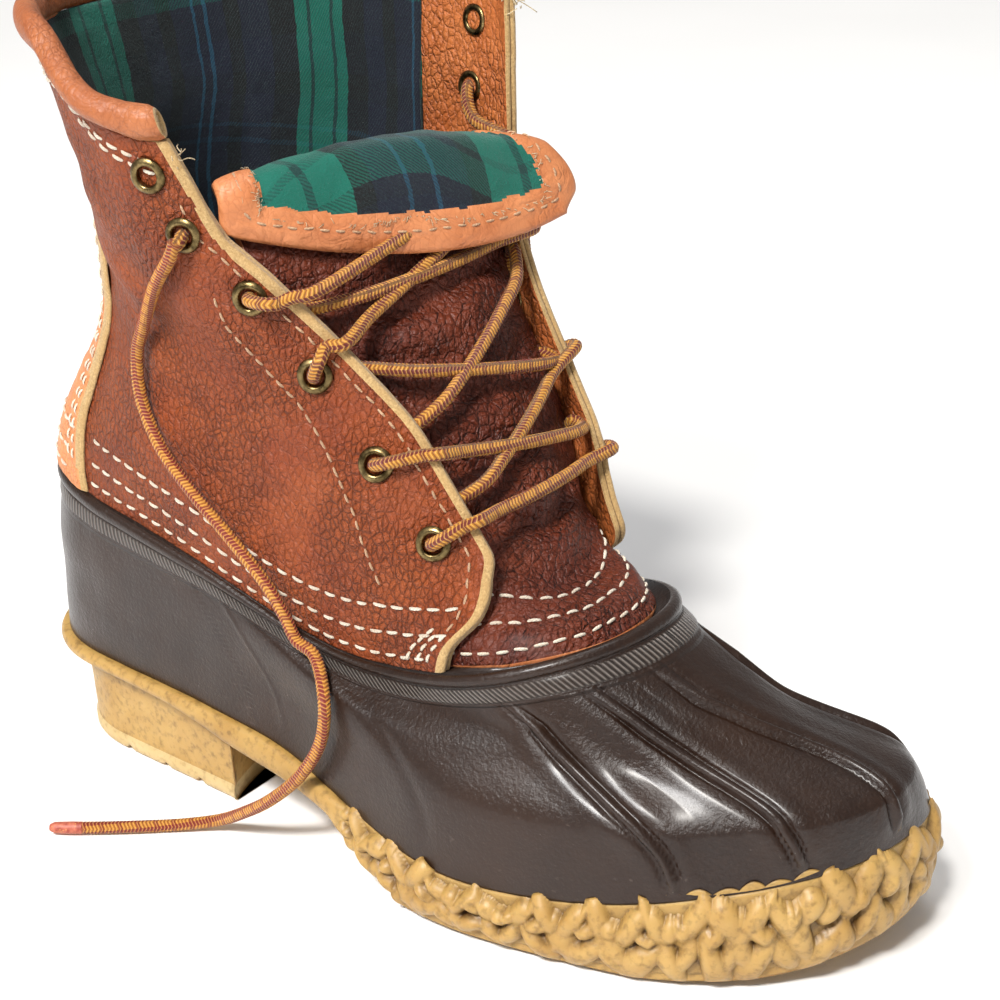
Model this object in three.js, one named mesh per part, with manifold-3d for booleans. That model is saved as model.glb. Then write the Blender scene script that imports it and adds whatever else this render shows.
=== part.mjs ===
// Lined boot, right foot: moulded rubber bottom with a gum outsole, leather upper with an
// open laced throat, a tongue folded forward at its top, and a rolled collar.
// Millimetres, +Z up. The toe points along -Y, the lateral (outer) side along -X.
// The boot stands on its heel block and forefoot tread on the plane z = 0.
import * as THREE from 'three';
import Module from 'manifold-3d';

// ---------------------------------------------------------------- driving dimensions
const CENTRE_SHIFT = [5.106, 2.503, 0];  // moves the box centre of the boot to x = 0, y = 0
const GAP = 0.3;                     // clearance between neighbouring pieces

const RUBBER_WALL = 2.8;             // rubber bottom wall
const BEAD_HEIGHT = 5.0;             // rolled rubber rim
const BEAD_PROUD = 2.0;
const FLANGE_HEIGHT = 10;            // rubber flange up inside the leather
const FLANGE_WALL = 1.4;

const LEATHER = 2.2;                 // upper leather with its lining cloth
const TONGUE_LEATHER = 2.0;
const STRAP_LEATHER = 1.7;
const COLLAR_TOP = 1.985;            // level where the upper's top edge runs
const COLLAR_RADIUS = [3.6, 4.6];    // rolled collar: half thickness, half height

const RIM_PROUD = 3.0;               // outsole edge beyond the rubber
const HEEL = {                       // heel block
  breastY: 57.5, breastHollow: 6.5,  // front face and how far it is hollowed back
  inset: 3.2, shorten: 0.945,        // outline against the sole's edge
  top: 28, rimUnderside: 26,
};
const HEEL_GROOVE = { depth: 2.0, width: 2.4, y: [74.7, 91.2, 109.4] };
const LUG_DEPTH = 3.2;
const LUG_BAR = { width: 7.2, pitch: 12.6, first: -100, count: 7, wave: 3.2, waves: 2.5 };

const INSOLE_THICK = 4.0;
const EYELET = { outer: 5.2, hole: 2.7, barrel: 3.3, flange: 0.8, seat: 0.8, sides: 8 };
const LACE_DIAMETER = 4.0;

// ---------------------------------------------------------------- the last, as level loops
// Each row is one closed loop round the boot. Columns: level; y at the back and front;
// heights at the back, waist, ball and front; half widths at heel, waist, ball and toe,
// lateral then medial; length of the round ends as a part of the loop; squareness of the
// ends; twist (medial side forward); swing of the toe towards the medial side; tilt
// (medial side up).
const LEVELS = [
//  level  yB    yF    zB   zW   zB   zF   lH  lW  lB  lT  mH  mW  mB  mT  endB endF  sq  twist swing tilt
  [ 0.00, 150, -155,   38,  33,  19,  39,  34, 40, 58, 53, 34, 30, 44, 41, 0.13, 0.22, 2.2,  0, 19,  0],
  [ 0.35, 149, -152,   56,  50,  41,  52,  36, 40, 57, 48, 36, 33, 44, 39, 0.14, 0.24, 2.2,  0, 15,  0],
  [ 0.70, 147, -118,   78,  69,  58,  66,  37, 41, 50, 43, 37, 37, 42, 32, 0.16, 0.30, 2.2,  0,  6,  0],
  [ 1.00, 143,  -77,  101,  88,  71,  90,  36, 40, 38, 44, 36, 40, 42, 38, 0.20, 0.26, 2.3,  0,  0,  0],
  [ 1.20, 135,  -60,  120, 108,  98, 104,  37, 42, 41, 35, 37, 41, 40, 36, 0.24, 0.22, 2.4,  5,  0,  0],
  [ 1.50, 111,  -34,  163, 153, 144, 140,  36, 42, 41, 35, 38, 42, 41, 37, 0.32, 0.20, 2.6, 14,  0,  2],
  [ 1.80, 108,   -2,  204, 197, 191, 189,  40, 51, 53, 48, 40, 48, 46, 41, 0.34, 0.20, 2.6, 20,  0,  8],
  [ 2.00, 123,    8,  247, 253, 243, 242,  43, 56, 62, 57, 44, 52, 52, 46, 0.36, 0.20, 2.6, 22,  0, 17],
];
const WIDTH_STATIONS = [0.12, 0.38, 0.65, 0.88];
const HEIGHT_STATIONS = [0, 0.35, 0.65, 1];

// Front edge of the quarters: how far round the loop (0 back, 1 front) each facing reaches.
const FACING = [
//  level  lateral  medial
  [ 1.00,  0.800,   0.800],
  [ 1.06,  0.830,   0.830],
  [ 1.13,  0.895,   0.895],
  [ 1.20,  0.925,   0.920],
  [ 1.28,  0.948,   0.915],
  [ 1.40,  0.950,   0.890],
  [ 1.50,  0.950,   0.852],
  [ 1.60,  0.947,   0.828],
  [ 1.70,  0.942,   0.815],
  [ 1.80,  0.925,   0.820],
  [ 1.87,  0.898,   0.838],
  [ 1.94,  0.880,   0.855],
  [ 2.00,  0.862,   0.865],
];
// Eyelets, from the bottom up.
const EYELETS = [
//  lateral: level, reach   medial: level, reach
  [ 1.29, 0.890,            1.290, 0.800],
  [ 1.45, 0.872,            1.440, 0.760],
  [ 1.63, 0.888,            1.600, 0.730],
  [ 1.78, 0.895,            1.760, 0.710],
  [ 1.87, 0.812,            1.886, 0.705],
  [ 1.94, 0.780,            1.945, 0.735],
];

// Vamp and foot of the tongue: level, reach round the loop, recess at the middle.
const VAMP = [
//  level  lateral medial  recess
  [ 1.012, 0.740,  0.740,  0.0],
  [ 1.05,  0.755,  0.755,  0.0],
  [ 1.09,  0.775,  0.775,  0.0],
  [ 1.13,  0.800,  0.800,  3.0],
  [ 1.20,  0.840,  0.840,  9.5],
];
// Tongue between the facings: level and reach of its edges, y and z of its middle.
const TONGUE = [
//  level  lateral medial  y      z
  [ 1.26,  0.852,  0.848, -44.5, 102.0],
  [ 1.32,  0.862,  0.846, -39.0, 109.5],
  [ 1.39,  0.865,  0.826, -33.0, 119.5],
  [ 1.46,  0.868,  0.808, -27.0, 129.5],
  [ 1.53,  0.870,  0.793, -20.5, 140.0],
  [ 1.60,  0.872,  0.780, -14.0, 151.0],
  [ 1.66,  0.876,  0.772,  -7.5, 161.5],
  [ 1.72,  0.880,  0.765,   0.5, 172.5],
];
const TONGUE_SEAT = 1.7;             // least drop of the tongue below the facings
// Tongue above that, folded forward. Every row is a curve through three points.
const FOLD = [
//  middle y, z    lateral x, y, z        medial x, y, z
  [ 10.0, 187.0,  -38.5, 33.0, 187.0,    36.0,   2.5, 187.0],
  [ 15.0, 199.0,  -37.5, 40.5, 199.0,    35.5,   4.0, 200.0],
  [ 17.0, 208.0,  -39.0, 42.0, 204.0,    35.5,   3.0, 206.0],
  [ 14.5, 214.5,  -42.0, 39.5, 206.5,    35.5,  -2.0, 208.5],
  [ 10.0, 213.5,  -43.0, 38.0, 205.5,    40.0, -10.5, 208.0],
  [  6.5, 206.0,  -43.5, 37.0, 202.5,    44.5, -15.5, 203.0],
  [  4.0, 196.0,  -43.5, 37.0, 198.5,    45.5, -18.5, 196.0],
  [  2.0, 185.5,  -42.5, 36.0, 195.0,    41.0, -18.5, 189.5],
];
const STRAP = [
//  level  half reach of the back strap round the loop
  [ 1.012, 0.145],
  [ 1.20,  0.125],
  [ 1.50,  0.095],
  [ 1.75,  0.075],
  [ 1.955, 0.070],
];

// ---------------------------------------------------------------- interpolation
function pchip(xs, ys, x) {
  const n = xs.length, h = [], d = [], m = new Array(n).fill(0);
  for (let i = 0; i < n - 1; i++) { h.push(xs[i + 1] - xs[i]); d.push((ys[i + 1] - ys[i]) / h[i]); }
  for (let i = 1; i < n - 1; i++) {
    if (d[i - 1] * d[i] > 0) {
      const w1 = 2 * h[i] + h[i - 1], w2 = h[i] + 2 * h[i - 1];
      m[i] = (w1 + w2) / (w1 / d[i - 1] + w2 / d[i]);
    }
  }
  m[0] = d[0]; m[n - 1] = d[n - 2];
  const v = Math.min(Math.max(x, xs[0]), xs[n - 1]);
  let i = 0;
  while (i < n - 2 && v >= xs[i + 1]) i++;
  const t = (v - xs[i]) / h[i];
  return ys[i] * (1 + 2 * t) * (1 - t) ** 2 + m[i] * h[i] * t * (1 - t) ** 2
    + ys[i + 1] * t * t * (3 - 2 * t) + m[i + 1] * h[i] * t * t * (t - 1);
}
const column = (table, j) => table.map((r) => r[j]);
const LEVEL_X = column(LEVELS, 0);
const LEVEL_COLUMNS = LEVELS[0].map((_, j) => column(LEVELS, j));
const rowCache = new Map();
function level(h) {
  const key = Math.round(h * 1e5);
  if (!rowCache.has(key)) rowCache.set(key, LEVEL_COLUMNS.map((c) => pchip(LEVEL_X, c, h)));
  return rowCache.get(key);
}
const clamp01 = (v) => Math.min(Math.max(v, 0), 1);

// Point on the loop of level h. t runs -1 (front) .. 0 (back) .. 1 (front); t > 0 is lateral.
function surface(t, h) {
  let s = t;
  while (s > 1) s -= 2;
  while (s < -1) s += 2;
  const side = s > 0 ? -1 : 1;
  const f = (1 - Math.cos(Math.PI * Math.abs(s))) / 2;
  const r = level(h);
  const widths = side < 0 ? r.slice(7, 11) : r.slice(11, 15);
  const w = pchip(WIDTH_STATIONS, widths, f);
  const n = r[17];
  const ub = clamp01(1 - f / r[15]), uf = clamp01(1 - (1 - f) / r[16]);
  const cap = (1 - ub ** n) ** (1 / n) * (1 - uf ** n) ** (1 / n);
  const swing = r[19] * clamp01((f - 0.45) / 0.55) ** 1.5;
  const g = clamp01(f / 0.8) * Math.min(1, (1 - f) / 0.1);
  const y = r[1] + (r[2] - r[1]) * f - side * r[18] * g;
  const z = pchip(HEIGHT_STATIONS, r.slice(3, 7), f) + side * r[20] * g;
  return new THREE.Vector3(swing + side * w * cap, y, z);
}
function frameAt(t, h) {
  const dt = 0.012, dh = 0.02;
  const hi = Math.min(h + dh, 2), lo = Math.max(h - dh, 0);
  const along = surface(t + dt, h).sub(surface(t - dt, h));
  const up = surface(t, hi).sub(surface(t, lo));
  const climb = up.length() / (hi - lo);
  const travel = along.length() / (2 * dt);
  const normal = along.clone().cross(up).normalize();
  return { normal, climb, travel };
}
const shell = (t, h, off) => surface(t, h).addScaledVector(frameAt(t, h).normal, off);
// sideways offset from the sole's edge, which keeps its height
function edgePoint(t, off) {
  const p = surface(t, 0), a = surface(t + 0.012, 0).sub(surface(t - 0.012, 0));
  return p.add(new THREE.Vector3(a.y, -a.x, 0).normalize().multiplyScalar(off));
}
// level at a distance d (mm) above (+) or below (-) the rubber's rim
const nearRim = (t, d) => 1 + d / (d < 0 ? (surface(t, 1).distanceTo(surface(t, 0.94)) / 0.06)
  : (surface(t, 1.06).distanceTo(surface(t, 1)) / 0.06));
const partAround = (f) => Math.acos(1 - 2 * f) / Math.PI;

// ---------------------------------------------------------------- mesh building
function closedGeometry(points, faces) {
  // faces that point inwards are turned as one
  let volume = 0;
  for (const [a, b, c] of faces) {
    const A = points[a], B = points[b], C = points[c];
    volume += A.dot(B.clone().cross(C));
  }
  const index = [];
  for (const [a, b, c] of faces) index.push(...(volume > 0 ? [a, b, c] : [a, c, b]));
  const g = new THREE.BufferGeometry();
  g.setAttribute('position', new THREE.Float32BufferAttribute(points.flatMap((p) => [p.x, p.y, p.z]), 3));
  g.setIndex(index);
  return g;
}
const quad = (out, a, b, c, d) => { out.push([a, b, c], [a, c, d]); };

// A closed band: rows of one profile ring carried round a closed path.
function ringSolid(count, profile) {
  const pts = [], faces = [];
  let m = 0;
  for (let i = 0; i < count; i++) {
    const ring = profile(i);
    m = ring.length;
    pts.push(...ring);
  }
  for (let i = 0; i < count; i++) for (let j = 0; j < m; j++) {
    const i2 = (i + 1) % count, j2 = (j + 1) % m;
    quad(faces, i * m + j, i2 * m + j, i2 * m + j2, i * m + j2);
  }
  return closedGeometry(pts, faces);
}
// A sheet with thickness: outer and inner grids joined along all four edges.
function sheetSolid(nu, nv, outer, inner) {
  const pts = [], faces = [];
  const id = (k, i, j) => k * (nu + 1) * (nv + 1) + j * (nu + 1) + i;
  for (const fn of [outer, inner]) for (let j = 0; j <= nv; j++) for (let i = 0; i <= nu; i++) pts.push(fn(i / nu, j / nv));
  for (let j = 0; j < nv; j++) for (let i = 0; i < nu; i++) {
    quad(faces, id(0, i, j), id(0, i + 1, j), id(0, i + 1, j + 1), id(0, i, j + 1));
    quad(faces, id(1, i, j), id(1, i, j + 1), id(1, i + 1, j + 1), id(1, i + 1, j));
  }
  for (let i = 0; i < nu; i++) {
    quad(faces, id(0, i, 0), id(1, i, 0), id(1, i + 1, 0), id(0, i + 1, 0));
    quad(faces, id(0, i, nv), id(0, i + 1, nv), id(1, i + 1, nv), id(1, i, nv));
  }
  for (let j = 0; j < nv; j++) {
    quad(faces, id(0, 0, j), id(0, 0, j + 1), id(1, 0, j + 1), id(1, 0, j));
    quad(faces, id(0, nu, j), id(1, nu, j), id(1, nu, j + 1), id(0, nu, j + 1));
  }
  return closedGeometry(pts, faces);
}
// A stack of loops with flat-laid ends. Every loop has 2n points: n down the lateral side
// from back to front, then n up the medial side, so that point k faces point 2n - 1 - k.
function stackSolid(loops) {
  const pts = loops.flat(), faces = [], m = loops[0].length, last = (loops.length - 1) * m;
  for (let r = 0; r < loops.length - 1; r++) for (let k = 0; k < m; k++) {
    const k2 = (k + 1) % m;
    quad(faces, r * m + k, r * m + k2, (r + 1) * m + k2, (r + 1) * m + k);
  }
  for (let k = 0; k < m / 2 - 1; k++) {
    const a = k, b = k + 1, c = m - 2 - k, d = m - 1 - k;
    quad(faces, a, d, c, b);
    quad(faces, last + a, last + b, last + c, last + d);
  }
  return closedGeometry(pts, faces);
}

const wasm = await Module();
wasm.setup();
function toSolid(geometry) {
  return new wasm.Manifold(new wasm.Mesh({
    numProp: 3,
    vertProperties: new Float32Array(geometry.attributes.position.array),
    triVerts: new Uint32Array(geometry.index.array),
  }));
}
function toGeometry(solid) {
  const m = solid.getMesh();
  const g = new THREE.BufferGeometry();
  const p = [];
  for (let i = 0; i < m.numVert; i++) p.push(m.vertProperties[i * m.numProp], m.vertProperties[i * m.numProp + 1], m.vertProperties[i * m.numProp + 2]);
  g.setAttribute('position', new THREE.Float32BufferAttribute(p, 3));
  g.setIndex(Array.from(m.triVerts));
  return g;
}
// welds an indexed copy of a three.js geometry by position
function welded(geometry) {
  const p = geometry.attributes.position, idx = geometry.index ? geometry.index.array : [...Array(p.count).keys()];
  const map = new Map(), pts = [], remap = [];
  for (let i = 0; i < p.count; i++) {
    const k = [p.getX(i), p.getY(i), p.getZ(i)].map((v) => Math.round(v * 2e4)).join();
    if (!map.has(k)) { map.set(k, pts.length); pts.push(new THREE.Vector3(p.getX(i), p.getY(i), p.getZ(i))); }
    remap.push(map.get(k));
  }
  const faces = [];
  for (let i = 0; i < idx.length; i += 3) {
    const a = remap[idx[i]], b = remap[idx[i + 1]], c = remap[idx[i + 2]];
    if (a !== b && b !== c && a !== c) faces.push([a, b, c]);
  }
  return closedGeometry(pts, faces);
}
function placed(geometry, origin, axis) {
  const g = geometry.clone();
  const q = new THREE.Quaternion().setFromUnitVectors(new THREE.Vector3(0, 1, 0), axis);
  g.applyMatrix4(new THREE.Matrix4().compose(origin, q, new THREE.Vector3(1, 1, 1)));
  return g;
}
// round bar along a smooth curve through the given points
function cordSolid(points, diameter, steps, sides = 8) {
  const curve = new THREE.CatmullRomCurve3(points, false, 'centripetal');
  const shape = new THREE.Shape();
  for (let k = 0; k < sides; k++) {
    const a = (k + 0.5) * 2 * Math.PI / sides, r = diameter / 2;
    if (k) shape.lineTo(r * Math.cos(a), r * Math.sin(a)); else shape.moveTo(r * Math.cos(a), r * Math.sin(a));
  }
  shape.closePath();
  return welded(new THREE.ExtrudeGeometry(shape, { steps, bevelEnabled: false, extrudePath: curve }));
}

// ---------------------------------------------------------------- outsole
const SOLE_HALF = 30;                // points down each side of the sole
const soleParts = Array.from({ length: SOLE_HALF }, (_, k) => (k + 0.5) / SOLE_HALF);
function soleLoop(grow, heightOf, scale = 1) {
  const pts = [];
  const put = (t) => {
    const p = edgePoint(t, grow);
    pts.push(new THREE.Vector3(p.x * scale, p.y, heightOf(p.y, p.z)));
  };
  for (const u of soleParts) put(u);
  for (const u of [...soleParts].reverse()) put(-u);
  return pts;
}
// underside of the sole: shank over the arch, flat forefoot, toe spring
const UNDERSIDE = {
  y: [-160, -128, -98, -24, -6, 4, 36, 66, 100, 155],
  z: [17.5, 6.5, LUG_DEPTH, LUG_DEPTH, 10, 17.5, 22.5, 24.5, HEEL.rimUnderside, HEEL.rimUnderside],
};
const underside = (y) => pchip(UNDERSIDE.y, UNDERSIDE.z, y);
const topside = (y, z) => z - GAP;
const mix = (a, b, k) => a + (b - a) * k;
const soleBody = stackSolid([
  soleLoop(-7, (y, z) => underside(y)),
  soleLoop(-1.5, (y, z) => mix(underside(y), topside(y, z), 0.02)),
  soleLoop(RIM_PROUD - 0.4, (y, z) => mix(underside(y), topside(y, z), 0.2)),
  soleLoop(RIM_PROUD, (y, z) => mix(underside(y), topside(y, z), 0.55)),
  soleLoop(RIM_PROUD - 0.6, (y, z) => mix(underside(y), topside(y, z), 0.9)),
  soleLoop(RIM_PROUD - 2.2, (y, z) => topside(y, z)),
]);
// heel block: loops cut off at the breast, which is hollowed by a wide cylinder
function heelLoop(z, grow) {
  const pts = [], n = 9;
  const put = (t) => {
    const p = edgePoint(t, grow - HEEL.inset);
    pts.push(new THREE.Vector3(p.x, Math.max(HEEL.breastY, 60 + (p.y - 60) * HEEL.shorten), z));
  };
  const reach = partAround(0.335);
  for (let k = 0; k < n; k++) put(reach * (k + 0.5) / n);
  for (let k = n - 1; k >= 0; k--) put(-reach * (k + 0.5) / n);
  // straight front edge
  for (const k of [n - 1, n]) pts[k].y = HEEL.breastY;
  return pts;
}
const breastRadius = (33 ** 2 + HEEL.breastHollow ** 2) / (2 * HEEL.breastHollow);
const breastCutter = new THREE.CylinderGeometry(breastRadius, breastRadius, 2 * HEEL.top + 8, 72);
breastCutter.rotateX(Math.PI / 2);
breastCutter.translate(0, HEEL.breastY + HEEL.breastHollow - breastRadius, 0);
const heelBlock = toSolid(stackSolid([heelLoop(0, -0.8), heelLoop(1.2, 0), heelLoop(HEEL.top, 1.2)]))
  .subtract(toSolid(welded(breastCutter)));
let sole = toSolid(soleBody).add(heelBlock);
// main lugs: wavy bars across the forefoot with flat faces on the ground
function waveBar(yc) {
  const s = new THREE.Shape(), n = 9;
  const edge = (k, sign) => {
    const x = -62 + 124 * k / n;
    return [x, yc + sign * LUG_BAR.width / 2 + LUG_BAR.wave * Math.sin(LUG_BAR.waves * 2 * Math.PI * k / n)];
  };
  s.moveTo(...edge(0, -1));
  for (let k = 1; k <= n; k++) s.lineTo(...edge(k, -1));
  for (let k = n; k >= 0; k--) s.lineTo(...edge(k, 1));
  s.closePath();
  return toSolid(welded(new THREE.ExtrudeGeometry(s, { depth: 12, bevelEnabled: false })));
}
const lugField = toSolid(stackSolid([
  soleLoop(-5.5, () => 0), soleLoop(-5.5, () => LUG_DEPTH + 1.5)]));
let lugs = null;
for (let k = 0; k < LUG_BAR.count; k++) {
  const bar = waveBar(LUG_BAR.first + LUG_BAR.pitch * k);
  lugs = lugs ? lugs.add(bar) : bar;
}
sole = sole.add(lugs.intersect(lugField));
for (const y of HEEL_GROOVE.y) {
  const g = new THREE.BoxGeometry(120, HEEL_GROOVE.width, HEEL_GROOVE.depth * 2);
  g.translate(0, y, 0);
  sole = sole.subtract(toSolid(welded(g)));
}

// the footbed is sunk inside the edge that carries the rubber
const FOOTBED = { y: [-160, -128, -98, -24, -6, 4, 36, 60, 155], z: [29, 16, 11, 11, 14.5, 20.5, 26, 29.5, 29.5] };
const footbed = (y) => pchip(FOOTBED.y, FOOTBED.z, y);
sole = sole.subtract(toSolid(stackSolid([
  soleLoop(-RUBBER_WALL - 1.6, (y) => footbed(y)), soleLoop(-RUBBER_WALL - 1.0, () => 60)])));

// ---------------------------------------------------------------- rubber bottom
const AROUND = 60;
const roundT = (i) => -1 + 2 * (i + 0.5) / AROUND;
const flangeOffset = (t) => {
  const f = (1 - Math.cos(Math.PI * Math.abs(t))) / 2;
  const k = clamp01((f - 0.60) / 0.10);
  return -(LEATHER + 2 * GAP) - (TONGUE_LEATHER + TONGUE_SEAT + 2 * GAP) * k * k * (3 - 2 * k);
};
const rubber = ringSolid(AROUND, (i) => {
  const t = roundT(i);
  const ring = [];
  for (const h of [0, 0.18, 0.4, 0.62]) ring.push(shell(t, h, 0));
  ring.push(shell(t, nearRim(t, -BEAD_HEIGHT - 0.8), 0));
  ring.push(shell(t, nearRim(t, -BEAD_HEIGHT * 0.85), BEAD_PROUD * 0.75));
  ring.push(shell(t, nearRim(t, -BEAD_HEIGHT * 0.5), BEAD_PROUD));
  ring.push(shell(t, nearRim(t, -BEAD_HEIGHT * 0.12), BEAD_PROUD * 0.75));
  ring.push(shell(t, 1, 0.4));
  const fl = flangeOffset(t);
  ring.push(shell(t, 1, fl));
  ring.push(shell(t, nearRim(t, FLANGE_HEIGHT), fl));
  ring.push(shell(t, nearRim(t, FLANGE_HEIGHT), fl - FLANGE_WALL));
  ring.push(shell(t, 1, fl - FLANGE_WALL));
  for (const h of [0.7, 0.4, 0.15]) ring.push(shell(t, h, -RUBBER_WALL));
  ring.push(edgePoint(t, -RUBBER_WALL));
  return ring;
});

// ---------------------------------------------------------------- insole
const insole = stackSolid([
  soleLoop(-RUBBER_WALL - 2.4, (y) => footbed(y) + GAP),
  soleLoop(-RUBBER_WALL - 2.4, (y) => footbed(y) + GAP + INSOLE_THICK - 0.8),
  soleLoop(-RUBBER_WALL - 3.4, (y) => footbed(y) + GAP + INSOLE_THICK),
]);

// ---------------------------------------------------------------- leather upper
const facingPart = (h, lateral) => partAround(pchip(column(FACING, 0), column(FACING, lateral ? 1 : 2), h));
const UPPER_BASE = 1.006;
const upperLevels = [UPPER_BASE, 1.06, 1.13, 1.2, 1.28, 1.38, 1.48, 1.58, 1.68, 1.78, 1.86, 1.93, COLLAR_TOP];
const upperAt = (u, v, off) => {
  const h = pchip(upperLevels.map((_, k) => k / (upperLevels.length - 1)), upperLevels, v);
  const side = u * 2 - 1;
  const t = side >= 0 ? side * facingPart(h, true) : side * facingPart(h, false);
  return shell(t, h, off);
};
let upper = toSolid(sheetSolid(32, upperLevels.length - 1, (u, v) => upperAt(u, v, 0), (u, v) => upperAt(u, v, -LEATHER)));

// ---------------------------------------------------------------- eyelets
const eyeletFrames = [];
for (const lateral of [true, false]) EYELETS.forEach((row, k) => {
  const [h, reach] = lateral ? row.slice(0, 2) : row.slice(2, 4);
  const t = partAround(reach) * (lateral ? 1 : -1);
  eyeletFrames.push({ name: `eyelet_${lateral ? 'lateral' : 'medial'}_${k + 1}`, at: surface(t, h), normal: frameAt(t, h).normal });
});
const eyeletRing = welded(new THREE.LatheGeometry([
  [EYELET.hole, 0.2 - LEATHER], [EYELET.barrel - 0.3, 0.2 - LEATHER], [EYELET.barrel - 0.3, EYELET.seat],
  [EYELET.outer, EYELET.seat], [EYELET.outer - 0.9, EYELET.seat + EYELET.flange], [EYELET.hole, EYELET.seat + EYELET.flange], [EYELET.hole, 0.2 - LEATHER],
].map(([r, y]) => new THREE.Vector2(r, y)), EYELET.sides));
const punch = welded(new THREE.CylinderGeometry(EYELET.barrel + 0.1, EYELET.barrel + 0.1, 12, EYELET.sides));
for (const e of eyeletFrames) upper = upper.subtract(toSolid(placed(punch, e.at, e.normal)));

// ---------------------------------------------------------------- tongue
const UNDER_FACING = LEATHER + GAP;
const TONGUE_ROWS = VAMP.length + TONGUE.length + FOLD.length;
function tongueRow(j, v) {
  // v runs -1 (medial edge) .. 1 (lateral edge)
  const through = (medial, middle, lateral) => middle + (lateral - medial) / 2 * v + ((lateral + medial) / 2 - middle) * v * v;
  const curve = (a, b, c) => new THREE.Vector3(through(a.x, b.x, c.x), through(a.y, b.y, c.y), through(a.z, b.z, c.z));
  if (j < VAMP.length) {
    const [h, lateral, medial, recess] = VAMP[j];
    const t = 1 - v * (1 - partAround(v > 0 ? lateral : medial));
    return shell(t, h, -UNDER_FACING - TONGUE_SEAT - recess * (1 - v * v) ** 1.2);
  }
  if (j < VAMP.length + TONGUE.length) {
    const [h, lateral, medial, y, z] = TONGUE[j - VAMP.length];
    return curve(shell(-partAround(medial), h, -UNDER_FACING - TONGUE_SEAT - 0.5), new THREE.Vector3(0, y, z),
      shell(partAround(lateral), h, -UNDER_FACING - TONGUE_SEAT - 0.5));
  }
  const [y, z, lx, ly, lz, mx, my, mz] = FOLD[j - VAMP.length - TONGUE.length];
  return curve(new THREE.Vector3(mx, my, mz), new THREE.Vector3(0, y, z), new THREE.Vector3(lx, ly, lz));
}
const TONGUE_ACROSS = 12;
function tongueNormal(j, v) {
  const dv = 0.05;
  const along = tongueRow(j, Math.min(v + dv, 1)).sub(tongueRow(j, Math.max(v - dv, -1)));
  const up = tongueRow(Math.min(j + 1, TONGUE_ROWS - 1), v).sub(tongueRow(Math.max(j - 1, 0), v));
  return up.cross(along).normalize();
}
const tongue = sheetSolid(TONGUE_ACROSS, TONGUE_ROWS - 1,
  (u, w) => tongueRow(Math.round(w * (TONGUE_ROWS - 1)), u * 2 - 1),
  (u, w) => {
    const j = Math.round(w * (TONGUE_ROWS - 1)), v = u * 2 - 1;
    const n = tongueNormal(j, v), p = tongueRow(j, v);
    return p.addScaledVector(n, -TONGUE_LEATHER);
  });

// ---------------------------------------------------------------- back strap
const STRAP_SEAT = GAP + 0.4;
const strapLevels = upperLevels.filter((h) => h < 1.94);
const strapAt = (u, w, off) => {
  const h = strapLevels[Math.round(w * (strapLevels.length - 1))];
  const reach = partAround(pchip(column(STRAP, 0), column(STRAP, 1), h));
  return shell((u * 2 - 1) * reach, h, off);
};
const strap = sheetSolid(10, strapLevels.length - 1,
  (u, w) => strapAt(u, w, STRAP_SEAT + STRAP_LEATHER),
  (u, w) => strapAt(u, w, STRAP_SEAT));

// ---------------------------------------------------------------- rolled collar
const COLLAR_STEPS = 34;
const collarRings = [];
for (let i = 0; i <= COLLAR_STEPS; i++) {
  const s = -1 + 2 * i / COLLAR_STEPS;
  const t = s >= 0 ? s * facingPart(COLLAR_TOP, true) : s * facingPart(COLLAR_TOP, false);
  const p = surface(t, COLLAR_TOP), n = frameAt(t, 1.95).normal;
  const up = surface(t, COLLAR_TOP).sub(surface(t, 1.9)).normalize();
  const c = p.clone().addScaledVector(n, -LEATHER / 2 + 0.6).addScaledVector(up, COLLAR_RADIUS[1] + GAP + 0.4);
  const ring = [];
  for (let k = 0; k < 8; k++) {
    const a = (k + 0.5) * Math.PI / 4;
    ring.push(c.clone().addScaledVector(n, COLLAR_RADIUS[0] * Math.cos(a)).addScaledVector(up, COLLAR_RADIUS[1] * Math.sin(a)));
  }
  collarRings.push(ring);
}
const collar = (() => {
  const pts = collarRings.flat(), faces = [], m = 8, n = collarRings.length;
  for (let i = 0; i < n - 1; i++) for (let k = 0; k < m; k++) {
    const k2 = (k + 1) % m;
    quad(faces, i * m + k, (i + 1) * m + k, (i + 1) * m + k2, i * m + k2);
  }
  for (let k = 1; k < m - 1; k++) { faces.push([0, k, k + 1]); faces.push([(n - 1) * m, (n - 1) * m + k + 1, (n - 1) * m + k]); }
  return closedGeometry(pts, faces);
})();

// ---------------------------------------------------------------- lace
// Spans that cross between the facings, joined where they touch; the free end hangs from
// the lateral fifth eyelet down the side and lies on the ground.
const LACE_BAR = [
//  lateral level, medial level, rise of the middle
  [ 1.345, 1.360, 3.0],
];
const LACE_SPANS = [
  [ 1.375, 1.540, 3.0],
  [ 1.480, 1.405, 4.0],
  [ 1.640, 1.520, 7.0],
  [ 1.525, 1.700, 4.0],
];
const LACE_UPPER_SPANS = [
  [ 1.690, 1.800, 1.2],
  [ 1.745, 1.730, 4.5],
];
const LACE_CLEAR = 3.4;              // from the facing's edge to the end of a span
function laceSpan([lateralLevel, medialLevel, rise]) {
  const edge = (h, lateral) => shell(facingPart(h, lateral) * (lateral ? 1 : -1), h, -LEATHER / 2);
  const a = edge(lateralLevel, true), b = edge(medialLevel, false), pts = [];
  const clear = LACE_CLEAR / a.distanceTo(b);
  for (let k = 0; k <= 6; k++) {
    const s = k / 6;
    const p = a.clone().lerp(b, clear + (1 - 2 * clear) * s);
    p.y -= rise * 4 * s * (1 - s);
    pts.push(p);
  }
  return toSolid(cordSolid(pts, LACE_DIAMETER, 5));
}
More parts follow.
